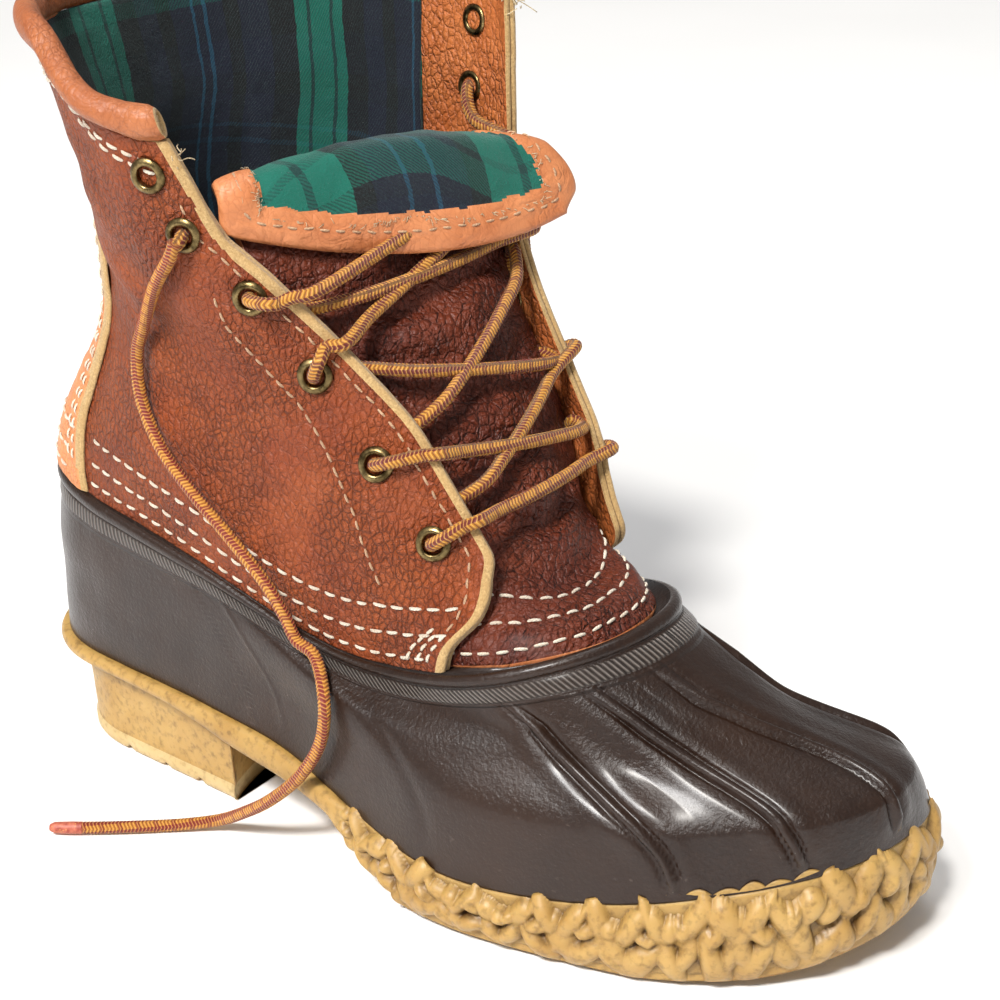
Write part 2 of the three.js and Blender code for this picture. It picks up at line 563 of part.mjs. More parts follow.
// Free end: down the lateral side from the fifth eyelet, then over the ground.
const LACE_SIDE = [
//  level  reach  height over the surface
  [ 1.868, 0.808, 5.0],
  [ 1.845, 0.765, 4.4],
  [ 1.78,  0.63,  3.0],
  [ 1.59,  0.36,  3.0],
  [ 1.49,  0.285, 3.2],
  [ 1.40,  0.290, 3.2],
  [ 1.32,  0.35,  3.0],
  [ 1.26,  0.42,  3.0],
  [ 1.20,  0.49,  3.2],
  [ 1.13,  0.545, 3.6],
  [ 1.07,  0.56,  4.4],
  [ 0.99,  0.56,  5.4],
  [ 0.86,  0.55,  4.4],
];
const LACE_GROUND = [
//   x      y     z
  [-50.2,   3.7, 61.0],
  [-50.6,   5.4, 47.2],
  [-51.3,  13.6, 32.8],
  [-52.0,  26.3, 19.8],
  [-51.5,  37.8, 11.2],
  [-51.6,  49.0,  4.4],
  [-58.3,  60.0,  2.2],
  [-67.7,  71.5,  2.2],
  [-75.9,  82.4,  2.2],
  [-83.1,  92.9,  2.2],
];
const LACE_STEPS = 40;
const laceEndPoints = [
  ...LACE_SIDE.map(([h, reach, off]) => shell(partAround(reach), h, off)),
  ...LACE_GROUND.map((p) => new THREE.Vector3(...p)),
];
const joined = (spans) => spans.map(laceSpan).reduce((a, b) => a.add(b));
const laceBar = joined(LACE_BAR);
const laceLower = joined(LACE_SPANS);
const laceUpper = joined(LACE_UPPER_SPANS);

// ---------------------------------------------------------------- the boot
const boot = new THREE.Group();
boot.name = 'lined_boot';
function add(name, geometry, color, roughness, metalness = 0) {
  const mesh = new THREE.Mesh(geometry, new THREE.MeshStandardMaterial({ color, roughness, metalness }));
  mesh.name = name;
  mesh.position.set(...CENTRE_SHIFT);
  boot.add(mesh);
}
add('outsole', toGeometry(sole), 0xc9a45c, 0.75);
add('rubber_bottom', rubber, 0x3f3530, 0.45);
add('insole', insole, 0xa58a62, 0.9);
add('upper', toGeometry(upper), 0x9c5429, 0.6);
add('tongue', tongue, 0x8e4a25, 0.6);
add('back_strap', strap, 0xa45a2c, 0.6);
add('collar_roll', collar, 0xb4673a, 0.55);
add('lace_bar', toGeometry(laceBar), 0xc89b3c, 0.7);
add('lace_end', cordSolid(laceEndPoints, LACE_DIAMETER, LACE_STEPS), 0xc89b3c, 0.7);
add('lace_lower', toGeometry(laceLower), 0xc89b3c, 0.7);
add('lace_upper', toGeometry(laceUpper), 0xc89b3c, 0.7);
for (const e of eyeletFrames) add(e.name, placed(eyeletRing, e.at, e.normal), 0x8a7448, 0.35, 1);

export default boot;
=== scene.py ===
import math

import bmesh
import bpy
import numpy as np
from mathutils import Matrix, Vector


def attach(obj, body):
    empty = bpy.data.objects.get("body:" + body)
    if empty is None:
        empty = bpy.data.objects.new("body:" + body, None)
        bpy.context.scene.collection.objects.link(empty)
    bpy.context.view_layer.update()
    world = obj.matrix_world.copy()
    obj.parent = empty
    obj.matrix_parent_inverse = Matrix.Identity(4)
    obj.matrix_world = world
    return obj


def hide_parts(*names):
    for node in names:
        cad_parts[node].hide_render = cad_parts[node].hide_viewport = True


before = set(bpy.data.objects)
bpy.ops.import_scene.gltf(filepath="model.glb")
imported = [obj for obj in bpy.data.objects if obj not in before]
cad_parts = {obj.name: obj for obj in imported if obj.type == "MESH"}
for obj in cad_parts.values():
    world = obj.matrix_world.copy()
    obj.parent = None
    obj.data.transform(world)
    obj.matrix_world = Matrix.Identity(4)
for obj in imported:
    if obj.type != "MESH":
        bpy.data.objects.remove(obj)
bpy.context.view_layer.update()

# Right lined boot. Lengths are millimetres in the boot's own axes (toe along -Y, lateral
# side along -X, +Z up); SHIFT and the factor 1/1000 take them into the frame.
SHIFT = np.array([5.106, 2.503, 0.0])
RNG = np.random.default_rng(217)
FINE = 1.0

# ------------------------------------------------------------------ camera
AZ, EL, ROLL = math.radians(-53.52), math.radians(25.03), math.radians(-1.03)
DIST = 626.8
TARGET = np.array([6.11, -11.67, 88.48]) + SHIFT
back = np.array([math.sin(AZ) * math.cos(EL), -math.cos(AZ) * math.cos(EL), math.sin(EL)])
fwd = -back
right = np.cross(fwd, [0, 0, 1.0]); right /= np.linalg.norm(right)
up = np.cross(right, fwd)
c_, s_ = math.cos(ROLL), math.sin(ROLL)
cam_right, cam_up = right * c_ + up * s_, -right * s_ + up * c_
eye = (TARGET + back * DIST) / 1000
cam = bpy.data.objects.new("camera", bpy.data.cameras.new("camera"))
bpy.context.scene.collection.objects.link(cam)
cam.matrix_world = Matrix([[cam_right[i], cam_up[i], back[i], eye[i]] for i in range(3)] + [[0, 0, 0, 1]])
cam.data.sensor_width = 36
cam.data.lens = 36 * 2065.1 / 1000
cam.data.shift_x = 0.0222
cam.data.shift_y = 0.0604
cam.data.clip_start, cam.data.clip_end = 0.02, 60
bpy.context.scene.camera = cam

# ------------------------------------------------------------------ the boot's sizes
GAP = 0.3
RUBBER_WALL, BEAD_HEIGHT, BEAD_PROUD = 2.8, 5.0, 2.0
FLANGE_HEIGHT, FLANGE_WALL = 10.0, 1.4
LEATHER, TONGUE_LEATHER, STRAP_LEATHER = 2.2, 2.0, 1.7
COLLAR_TOP, COLLAR_RADIUS = 1.985, (3.6, 4.6)
RIM_PROUD = 3.0
LACE = 4.0
TONGUE_SEAT = 1.7
STRAP_SEAT = GAP + 0.4
UNDER_FACING = LEATHER + GAP
LEVELS = np.array([
    # level yB    yF    zB   zW   zB   zF   lH  lW  lB  lT  mH  mW  mB  mT  endB endF  sq  twist swing tilt
    [0.00, 150, -155, 38, 33, 19, 39, 34, 40, 58, 53, 34, 30, 44, 41, 0.13, 0.22, 2.2, 0, 19, 0],
    [0.35, 149, -152, 56, 50, 41, 52, 36, 40, 57, 48, 36, 33, 44, 39, 0.14, 0.24, 2.2, 0, 15, 0],
    [0.70, 147, -118, 78, 69, 58, 66, 37, 41, 50, 43, 37, 37, 42, 32, 0.16, 0.30, 2.2, 0, 6, 0],
    [1.00, 143, -77, 101, 88, 71, 90, 36, 40, 38, 44, 36, 40, 42, 38, 0.20, 0.26, 2.3, 0, 0, 0],
    [1.20, 135, -60, 120, 108, 98, 104, 37, 42, 41, 35, 37, 41, 40, 36, 0.24, 0.22, 2.4, 5, 0, 0],
    [1.50, 111, -34, 163, 153, 144, 140, 36, 42, 41, 35, 38, 42, 41, 37, 0.32, 0.20, 2.6, 14, 0, 2],
    [1.80, 108, -2, 204, 197, 191, 189, 40, 51, 53, 48, 40, 48, 46, 41, 0.34, 0.20, 2.6, 20, 0, 8],
    [2.00, 123, 8, 247, 253, 243, 242, 43, 56, 62, 57, 44, 52, 52, 46, 0.36, 0.20, 2.6, 22, 0, 17],
])
WIDTH_STATIONS, HEIGHT_STATIONS = [0.12, 0.38, 0.65, 0.88], [0, 0.35, 0.65, 1]
FACING = np.array([
    # level lateral medial
    [1.00, 0.800, 0.800], [1.06, 0.830, 0.830], [1.13, 0.895, 0.895], [1.20, 0.925, 0.920],
    [1.28, 0.948, 0.915], [1.40, 0.950, 0.890], [1.50, 0.950, 0.852], [1.60, 0.947, 0.828],
    [1.70, 0.942, 0.815], [1.80, 0.925, 0.820], [1.87, 0.898, 0.838], [1.94, 0.880, 0.855],
    [2.00, 0.862, 0.865],
])
EYELETS = [
    # lateral level, reach, medial level, reach
    (1.29, 0.890, 1.290, 0.800), (1.45, 0.872, 1.440, 0.760), (1.63, 0.888, 1.600, 0.730),
    (1.78, 0.895, 1.760, 0.710), (1.87, 0.812, 1.886, 0.705), (1.94, 0.780, 1.945, 0.735),
]
VAMP = [
    # level lateral medial recess
    (1.012, 0.740, 0.740, 0.0), (1.05, 0.755, 0.755, 0.0), (1.09, 0.775, 0.775, 0.0),
    (1.13, 0.800, 0.800, 3.0), (1.20, 0.840, 0.840, 9.5),
]
TONGUE = [
    # level lateral medial  middle y, z
    (1.26, 0.852, 0.848, -44.5, 102.0), (1.32, 0.862, 0.846, -39.0, 109.5),
    (1.39, 0.865, 0.826, -33.0, 119.5), (1.46, 0.868, 0.808, -27.0, 129.5),
    (1.53, 0.870, 0.793, -20.5, 140.0), (1.60, 0.872, 0.780, -14.0, 151.0),
    (1.66, 0.876, 0.772, -7.5, 161.5), (1.72, 0.880, 0.765, 0.5, 172.5),
]
FOLD = [
    # middle y, z   lateral x, y, z   medial x, y, z
    (10.0, 187.0, -38.5, 33.0, 187.0, 36.0, 2.5, 187.0),
    (15.0, 199.0, -37.5, 40.5, 199.0, 35.5, 4.0, 200.0),
    (17.0, 208.0, -39.0, 42.0, 204.0, 35.5, 3.0, 206.0),
    (14.5, 214.5, -42.0, 39.5, 206.5, 35.5, -2.0, 208.5),
    (10.0, 213.5, -43.0, 38.0, 205.5, 40.0, -10.5, 208.0),
    (6.5, 206.0, -43.5, 37.0, 202.5, 44.5, -15.5, 203.0),
    (4.0, 196.0, -43.5, 37.0, 198.5, 45.5, -18.5, 196.0),
    (2.0, 185.5, -42.5, 36.0, 195.0, 41.0, -18.5, 189.5),
]
STRAP = np.array([[1.012, 0.145], [1.20, 0.125], [1.50, 0.095], [1.75, 0.075], [1.955, 0.070]])
UNDERSIDE = ([-160, -128, -98, -24, -6, 4, 36, 66, 100, 155], [17.5, 6.5, 3.2, 3.2, 10, 17.5, 22.5, 24.5, 26, 26])
RIM_UNDER = ([-160, -128, -98, -20, -10, 0, 6, 26, 36, 53, 66, 85, 120, 155],
             [17.5, 6.5, 3.6, 4.5, 8, 15, 19.5, 21.5, 22.5, 24.5, 27.5, 30.5, 32, 32])
FOOTBED = ([-160, -128, -98, -24, -6, 4, 36, 60, 155], [29, 16, 11, 11, 14.5, 20.5, 26, 29.5, 29.5])
HEEL = dict(breast=57.5, hollow=6.5, inset=3.2, shorten=0.945, top=28)
HEEL_GROOVES = (74.7, 91.2, 109.4)
LUG_BARS = dict(width=7.2, pitch=12.6, first=-100, count=7, wave=3.2, waves=2.5, depth=3.2)


# ------------------------------------------------------------------ curves and surfaces
def slopes(xs, Y):
    h = np.diff(xs)
    d = np.diff(Y, axis=-1) / h
    m = np.zeros_like(Y)
    if Y.shape[-1] > 2:
        d0, d1 = d[..., :-1], d[..., 1:]
        w1, w2 = 2 * h[1:] + h[:-1], h[1:] + 2 * h[:-1]
        ok = d0 * d1 > 0
        q0, q1 = np.where(ok, d0, 1.0), np.where(ok, d1, 1.0)
        m[..., 1:-1] = np.where(ok, (w1 + w2) / (w1 / q0 + w2 / q1), 0)
    m[..., 0], m[..., -1] = d[..., 0], d[..., -1]
    return m, h


def pchip(xs, Y, x):
    xs, Y, x = np.asarray(xs, float), np.asarray(Y, float), np.asarray(x, float)
    Y = np.broadcast_to(Y, x.shape + (len(xs),)) if Y.ndim == 1 else Y
    m, h = slopes(xs, Y)
    v = np.clip(x, xs[0], xs[-1])
    i = np.clip(np.searchsorted(xs, v, side="right") - 1, 0, len(xs) - 2)
    t = (v - xs[i]) / h[i]
    take = lambda A, k: np.take_along_axis(A, k[..., None], -1)[..., 0]
    return (take(Y, i) * (1 + 2 * t) * (1 - t) ** 2 + take(m, i) * h[i] * t * (1 - t) ** 2
            + take(Y, i + 1) * t * t * (3 - 2 * t) + take(m, i + 1) * h[i] * t * t * (t - 1))


_LX, _LC = LEVELS[:, 0], LEVELS.T.copy()
_LM, _LH = slopes(_LX, _LC)


def level_rows(h):
    v = np.clip(h, _LX[0], _LX[-1])
    i = np.clip(np.searchsorted(_LX, v, side="right") - 1, 0, len(_LX) - 2)
    t = ((v - _LX[i]) / _LH[i])[..., None]
    a, b, ma, mb, hh = _LC.T[i], _LC.T[i + 1], _LM.T[i], _LM.T[i + 1], _LH[i][..., None]
    return (a * (1 + 2 * t) * (1 - t) ** 2 + ma * hh * t * (1 - t) ** 2
            + b * t * t * (3 - 2 * t) + mb * hh * t * t * (t - 1))


def surface(t, h):
    t, h = np.broadcast_arrays(np.asarray(t, float), np.asarray(h, float))
    s = (t + 1) % 2 - 1
    s = np.where(t == 1, 1.0, s)
    side = np.where(s > 0, -1.0, 1.0)
    f = (1 - np.cos(np.pi * np.abs(s))) / 2
    r = level_rows(h)
    widths = np.where(side[..., None] < 0, r[..., 7:11], r[..., 11:15])
    w = pchip(WIDTH_STATIONS, widths, f)
    n = r[..., 17]
    ub = np.clip(1 - f / r[..., 15], 0, 1)
    uf = np.clip(1 - (1 - f) / r[..., 16], 0, 1)
    cap = (1 - ub ** n) ** (1 / n) * (1 - uf ** n) ** (1 / n)
    swing = r[..., 19] * np.clip((f - 0.45) / 0.55, 0, 1) ** 1.5
    g = np.clip(f / 0.8, 0, 1) * np.minimum(1, (1 - f) / 0.1)
    y = r[..., 1] + (r[..., 2] - r[..., 1]) * f - side * r[..., 18] * g
    z = pchip(HEIGHT_STATIONS, r[..., 3:7], f) + side * r[..., 20] * g
    return np.stack([swing + side * w * cap, y, z], -1)


def unit(v):
    return v / np.maximum(np.linalg.norm(v, axis=-1, keepdims=True), 1e-9)


def normal_at(t, h):
    dt, dh = 0.012, 0.02
    h = np.asarray(h, float)
    hi, lo = np.minimum(h + dh, 2), np.maximum(h - dh, 0)
    along = surface(t + dt, h) - surface(t - dt, h)
    up_ = surface(t, hi) - surface(t, lo)
    return unit(np.cross(along, up_))


def shell(t, h, off):
    t, h = np.broadcast_arrays(np.asarray(t, float), np.asarray(h, float))
    off = np.asarray(off, float)
    return surface(t, h) + normal_at(t, h) * off[..., None]


def edge_point(t, off):
    t = np.asarray(t, float)
    a = surface(t + 0.012, 0 * t) - surface(t - 0.012, 0 * t)
    n = unit(np.stack([a[..., 1], -a[..., 0], 0 * t], -1))
    return surface(t, 0 * t) + n * np.asarray(off, float)[..., None], n


def near_rim(t, d):
    t = np.asarray(t, float)
    d = np.broadcast_to(np.asarray(d, float), t.shape)
    o = np.ones_like(t)
    below = np.linalg.norm(surface(t, o) - surface(t, 0.94 * o), axis=-1) / 0.06
    above = np.linalg.norm(surface(t, 1.06 * o) - surface(t, o), axis=-1) / 0.06
    return 1 + d / np.where(d < 0, below, above)


def part_around(f):
    return np.arccos(1 - 2 * np.asarray(f, float)) / np.pi


def reach_of(t):
    return (1 - np.cos(np.pi * np.abs(t))) / 2


def facing_part(h, lateral):
    return part_around(pchip(FACING[:, 0], FACING[:, 1 if lateral else 2], np.asarray(h, float)))


def catmull(P, step, closed=False):
    # even points along a smooth curve through P (centripetal)
    P = np.asarray(P, float)
    ext = np.vstack([2 * P[0] - P[1], P, 2 * P[-1] - P[-2]])
    out = []
    for i in range(1, len(ext) - 2):
        p0, p1, p2, p3 = ext[i - 1:i + 3]
        k = [0.0]
        for a, b in ((p0, p1), (p1, p2), (p2, p3)):
            k.append(k[-1] + max(np.linalg.norm(b - a), 1e-4) ** 0.5)
        t = np.linspace(k[1], k[2], 24, endpoint=False)[:, None]
        A1 = (k[1] - t) / (k[1] - k[0]) * p0 + (t - k[0]) / (k[1] - k[0]) * p1
        A2 = (k[2] - t) / (k[2] - k[1]) * p1 + (t - k[1]) / (k[2] - k[1]) * p2
        A3 = (k[3] - t) / (k[3] - k[2]) * p2 + (t - k[2]) / (k[3] - k[2]) * p3
        B1 = (k[2] - t) / (k[2] - k[0]) * A1 + (t - k[0]) / (k[2] - k[0]) * A2
        B2 = (k[3] - t) / (k[3] - k[1]) * A2 + (t - k[1]) / (k[3] - k[1]) * A3
        out.append((k[2] - t) / (k[2] - k[1]) * B1 + (t - k[1]) / (k[2] - k[1]) * B2)
    out = np.vstack(out + [P[-1:]])
    return even(out, step)


def even(P, step):
    seg = np.linalg.norm(np.diff(P, axis=0), axis=1)
    s = np.r_[0, np.cumsum(seg)]
    n = max(int(round(s[-1] / step)), 1)
    u = np.linspace(0, s[-1], n + 1)
    return np.stack([np.interp(u, s, P[:, k]) for k in range(P.shape[1])], 1)


def arc(P):
    return np.r_[0, np.cumsum(np.linalg.norm(np.diff(P, axis=0), axis=1))]


def noise3(P, scale, seed=0, octaves=3):
    # smooth value noise made of seeded plane waves; scale is a wavelength in mm
    rng = np.random.default_rng(1000 + seed)
    out = np.zeros(P.shape[:-1])
    amp, tot = 1.0, 0.0
    for o in range(octaves):
        for _ in range(9):
            d = unit(rng.normal(size=3)) * 2 * np.pi / (scale / 2 ** o) * rng.uniform(0.6, 1.4)
            out += amp * np.sin(P @ d + rng.uniform(0, 6.28)) / 3
        tot += amp
        amp *= 0.5
    return out / tot


def line_distance(P, line):
    # nearest distance from points P (n,3) to the polyline, and how far along it (0..1)
    best = np.full(len(P), 1e9)
    where = np.zeros(len(P))
    s = arc(line)
    for k in range(len(line) - 1):
        a, ab = line[k], line[k + 1] - line[k]
        L2 = max((ab ** 2).sum(), 1e-9)
        t = np.clip(((P - a) @ ab) / L2, 0, 1)
        d = np.linalg.norm(P - (a + t[:, None] * ab), axis=1)
        m = d < best
        best[m] = d[m]
        where[m] = (s[k] + t[m] * (s[k + 1] - s[k])) / s[-1]
    return best, where


def hand_folds(P, N, table, to_point):
    # soft troughs (negative height) and ridges placed along given lines; each fades at its ends
    flat, nrm = P.reshape(-1, 3), N.reshape(-1, 3)
    shift = np.zeros(len(flat))
    for height, width, pts in table:
        line = catmull(np.array([to_point(p) for p in pts]), 3.0)
        d, w = line_distance(flat, line)
        fade = np.clip(np.minimum(w, 1 - w) / 0.18, 0, 1) ** 0.7
        prof = np.exp(-0.5 * (d / width) ** 2) - 0.35 * np.exp(-0.5 * (d / (2.1 * width)) ** 2)
        shift += height * prof * (0.15 + 0.85 * fade)
    return (flat + nrm * shift[:, None]).reshape(P.shape)


# ------------------------------------------------------------------ mesh building
class Heap:
    def __init__(self):
        self.V, self.Q, self.T, self.uv, self.mi, self.n = [], [], [], [], [], 0
        self.at = []

    def add(self, V, Q=None, T=None, uv=None, mi=0, at=0.0):
        V = np.asarray(V, float).reshape(-1, 3)
        self.V.append(V)
        self.uv.append(np.zeros((len(V), 2)) if uv is None else np.asarray(uv, float).reshape(-1, 2))
        self.at.append(np.broadcast_to(np.asarray(at, float), (len(V),)) if np.ndim(at) == 0 else np.asarray(at, float).ravel())
        for lst, F in ((self.Q, Q), (self.T, T)):
            if F is not None and len(F):
                lst.append((np.asarray(F) + self.n, np.full(len(F), mi) if np.ndim(mi) == 0 else np.asarray(mi)))
        self.n += len(V)
        return self.n - len(V)

    def build(self, name, mats, smooth=True, fix_normals=True):
        V = (np.vstack(self.V) + SHIFT) / 1000
        uv = np.vstack(self.uv)
        at = np.concatenate(self.at)
        me = bpy.data.meshes.new(name)
        me.vertices.add(len(V))
        me.vertices.foreach_set("co", V.ravel().astype(np.float32))
        Q = np.vstack([q for q, _ in self.Q]) if self.Q else np.zeros((0, 4), int)
        T = np.vstack([q for q, _ in self.T]) if self.T else np.zeros((0, 3), int)
        mi = np.concatenate([m for _, m in self.Q] + [m for _, m in self.T])
        loops = np.concatenate([Q.ravel(), T.ravel()]).astype(np.int32)
        me.loops.add(len(loops))
        me.loops.foreach_set("vertex_index", loops)
        starts = np.concatenate([np.arange(len(Q)) * 4, len(Q) * 4 + np.arange(len(T)) * 3]).astype(np.int32)
        me.polygons.add(len(Q) + len(T))
        me.polygons.foreach_set("loop_start", starts)
        me.update(calc_edges=True)
        me.polygons.foreach_set("material_index", mi.astype(np.int32))
        me.polygons.foreach_set("use_smooth", np.full(len(mi), smooth))
        layer = me.uv_layers.new(name="UVMap")
        layer.data.foreach_set("uv", uv[loops].ravel().astype(np.float32))
        a = me.attributes.new("mask", "FLOAT", "POINT")
        a.data.foreach_set("value", at.astype(np.float32))
        for m in mats:
            me.materials.append(m)
        if fix_normals:
            bm = bmesh.new()
            bm.from_mesh(me)
            bmesh.ops.recalc_face_normals(bm, faces=bm.faces)
            bm.to_mesh(me)
            bm.free()
        me.update()
        ob = bpy.data.objects.new(name, me)
        bpy.context.scene.collection.objects.link(ob)
        return ob


def grid_faces(nu, nv, wrap_u=False, wrap_v=False):
    # points are laid out [u][v]
    i = np.arange(nu if wrap_u else nu - 1)
    j = np.arange(nv if wrap_v else nv - 1)
    I, J = np.meshgrid(i, j, indexing="ij")
    I2, J2 = (I + 1) % nu, (J + 1) % nv
    return np.stack([I * nv + J, I2 * nv + J, I2 * nv + J2, I * nv + J2], -1).reshape(-1, 4)


def add_sheet(heap, outer, inner, rim=4, bulge=0.5, mi=(0, 1, 2), uv=None, at_outer=0.0, at_rim=None, groove=0.0, at_inner=0.0):
    nu, nv = outer.shape[:2]
    F = grid_faces(nu, nv)
    o = heap.add(outer, Q=F, uv=uv, mi=mi[0], at=at_outer)
    n = heap.add(inner, Q=F[:, ::-1], uv=uv, mi=mi[1], at=at_inner)
    ring = [(i, 0) for i in range(nu)] + [(nu - 1, j) for j in range(1, nv)] \
        + [(i, nv - 1) for i in range(nu - 2, -1, -1)] + [(0, j) for j in range(nv - 2, 0, -1)]
    I = np.array([a for a, _ in ring]); J = np.array([b for _, b in ring])
    II, JJ = np.clip(I, 1, nu - 2), np.clip(J, 1, nv - 2)
    A, B = outer[I, J], inner[I, J]
    D = unit(A - outer[II, JJ])
    t = np.linalg.norm(A - B, axis=1)[:, None]
    rows = [o + I * nv + J]
    m = len(ring)
    per = arc(A)
    for k in range(1, rim + 1):
        s = k / (rim + 1)
        lift = bulge * math.sin(math.pi * s) - groove * math.exp(-((s - 0.5) / 0.1) ** 2)
        P = A * (1 - s) + B * s + D * t * 0.5 * lift
        base = heap.add(P, uv=np.stack([per, np.full(m, s * 3.0)], 1), mi=mi[2], at=s if at_rim is None else at_rim)
        rows.append(base + np.arange(m))
    rows.append(n + I * nv + J)
    Q = []
    for a, b in zip(rows[:-1], rows[1:]):
        Q.append(np.stack([a, np.roll(a, -1), np.roll(b, -1), b], 1))
    Q = np.vstack(Q)
    heap.Q.append((Q, np.full(len(Q), mi[2])))
    return ring


def stitch_rows(heap, rows, size=0.85, sink=0.35, rise=0.75, sides=6, jitter=0.12):
    # rows: list of (points, normals, stitch length, gap); each stitch is a thread sunk at both ends
    rng = np.random.default_rng(5)
    for P, N, L, gap in rows:
        s = arc(P)
        n = int((s[-1] - gap) / (L + gap))
        if n < 1:
            continue
        start = (np.arange(n) * (L + gap)) + gap / 2 + rng.normal(0, 0.12, n)
        Ls = L * (1 + rng.normal(0, 0.05, n))
        k = np.linspace(0, 1, 9)
        u = start[:, None] + Ls[:, None] * k[None, :]
        C = np.stack([np.interp(u, s, P[:, a]) for a in range(3)], -1)
        Nn = unit(np.stack([np.interp(u, s, N[:, a]) for a in range(3)], -1))
        T = unit(np.gradient(C, axis=1))
        B = unit(np.cross(T, Nn))
        arch = np.sin(np.pi * k) ** 0.45
        C = C + Nn * (-sink + (sink + rise * size * 0.5) * arch)[None, :, None]
        C = C + B * (rng.normal(0, jitter, n)[:, None, None] + rng.normal(0, jitter, (n, 1, 1)) * (k - 0.5)[None, :, None] * 2)
        r = size / 2 * (0.35 + 0.65 * np.sin(np.pi * np.clip(k, 0.02, 0.98)) ** 0.5)
        a = np.arange(sides) * 2 * np.pi / sides
        ring = C[:, :, None, :] + r[None, :, None, None] * (np.cos(a)[None, None, :, None] * Nn[:, :, None, :] * 0.85
                                                           + np.sin(a)[None, None, :, None] * B[:, :, None, :] * 1.15)
        F = grid_faces(9, sides, wrap_v=True)
        for q in range(n):
            uv = np.stack(np.meshgrid(k * L, np.arange(sides) / sides, indexing="ij"), -1)
            heap.add(ring[q], Q=F, uv=uv)


def tube(P, radius, sides, normal0=(0, 0, 1), bump=None, squash=1.0):
    # rings along P with a frame carried without twist
    T = unit(np.gradient(P, axis=0))
    n = unit(np.cross(np.cross(T[0], normal0), T[0]))
    Ns = [n]
    for k in range(1, len(P)):
        n = unit(n - T[k] * (n @ T[k]))
        Ns.append(n)
    Ns = np.array(Ns)
    Bs = np.cross(T, Ns)
    a = np.arange(sides) * 2 * np.pi / sides
    r = radius if bump is None else bump
    if np.ndim(r) == 0:
        r = np.full((len(P), sides), r)
    elif np.ndim(r) == 1:
        r = np.repeat(np.asarray(r)[:, None], sides, 1)
    ring = P[:, None, :] + r[..., None] * (np.cos(a)[None, :, None] * Ns[:, None, :] * squash + np.sin(a)[None, :, None] * Bs[:, None, :])
    return ring, Ns, Bs


def add_tube(heap, P, radius, sides, mi=0, bump=None, caps=True, uv0=0.0, squash=1.0, at=0.0, normal0=(0, 0, 1)):
    ring, _, _ = tube(P, radius, sides, bump=bump, squash=squash, normal0=normal0)
    s = arc(P) + uv0
    uv = np.stack(np.meshgrid(s, np.arange(sides) / sides, indexing="ij"), -1)
    b = heap.add(ring, Q=grid_faces(len(P), sides, wrap_v=True), uv=uv, mi=mi, at=at)
    if caps:
        for k, row in ((0, np.arange(sides)), (-1, (len(P) - 1) * sides + np.arange(sides))):
            c = heap.add([P[k]], uv=[[s[k], 0]], at=0.0 if np.ndim(at) else at)
            T = np.stack([np.full(sides, c - b), row, np.roll(row, -1)], 1) + b
            heap.T.append((T, np.full(sides, mi)))


# ------------------------------------------------------------------ materials
def srgb(r, g, b):
    f = lambda v: v / 12.92 if v <= 0.04045 else ((v + 0.055) / 1.055) ** 2.4
    return (f(r / 255), f(g / 255), f(b / 255), 1.0)


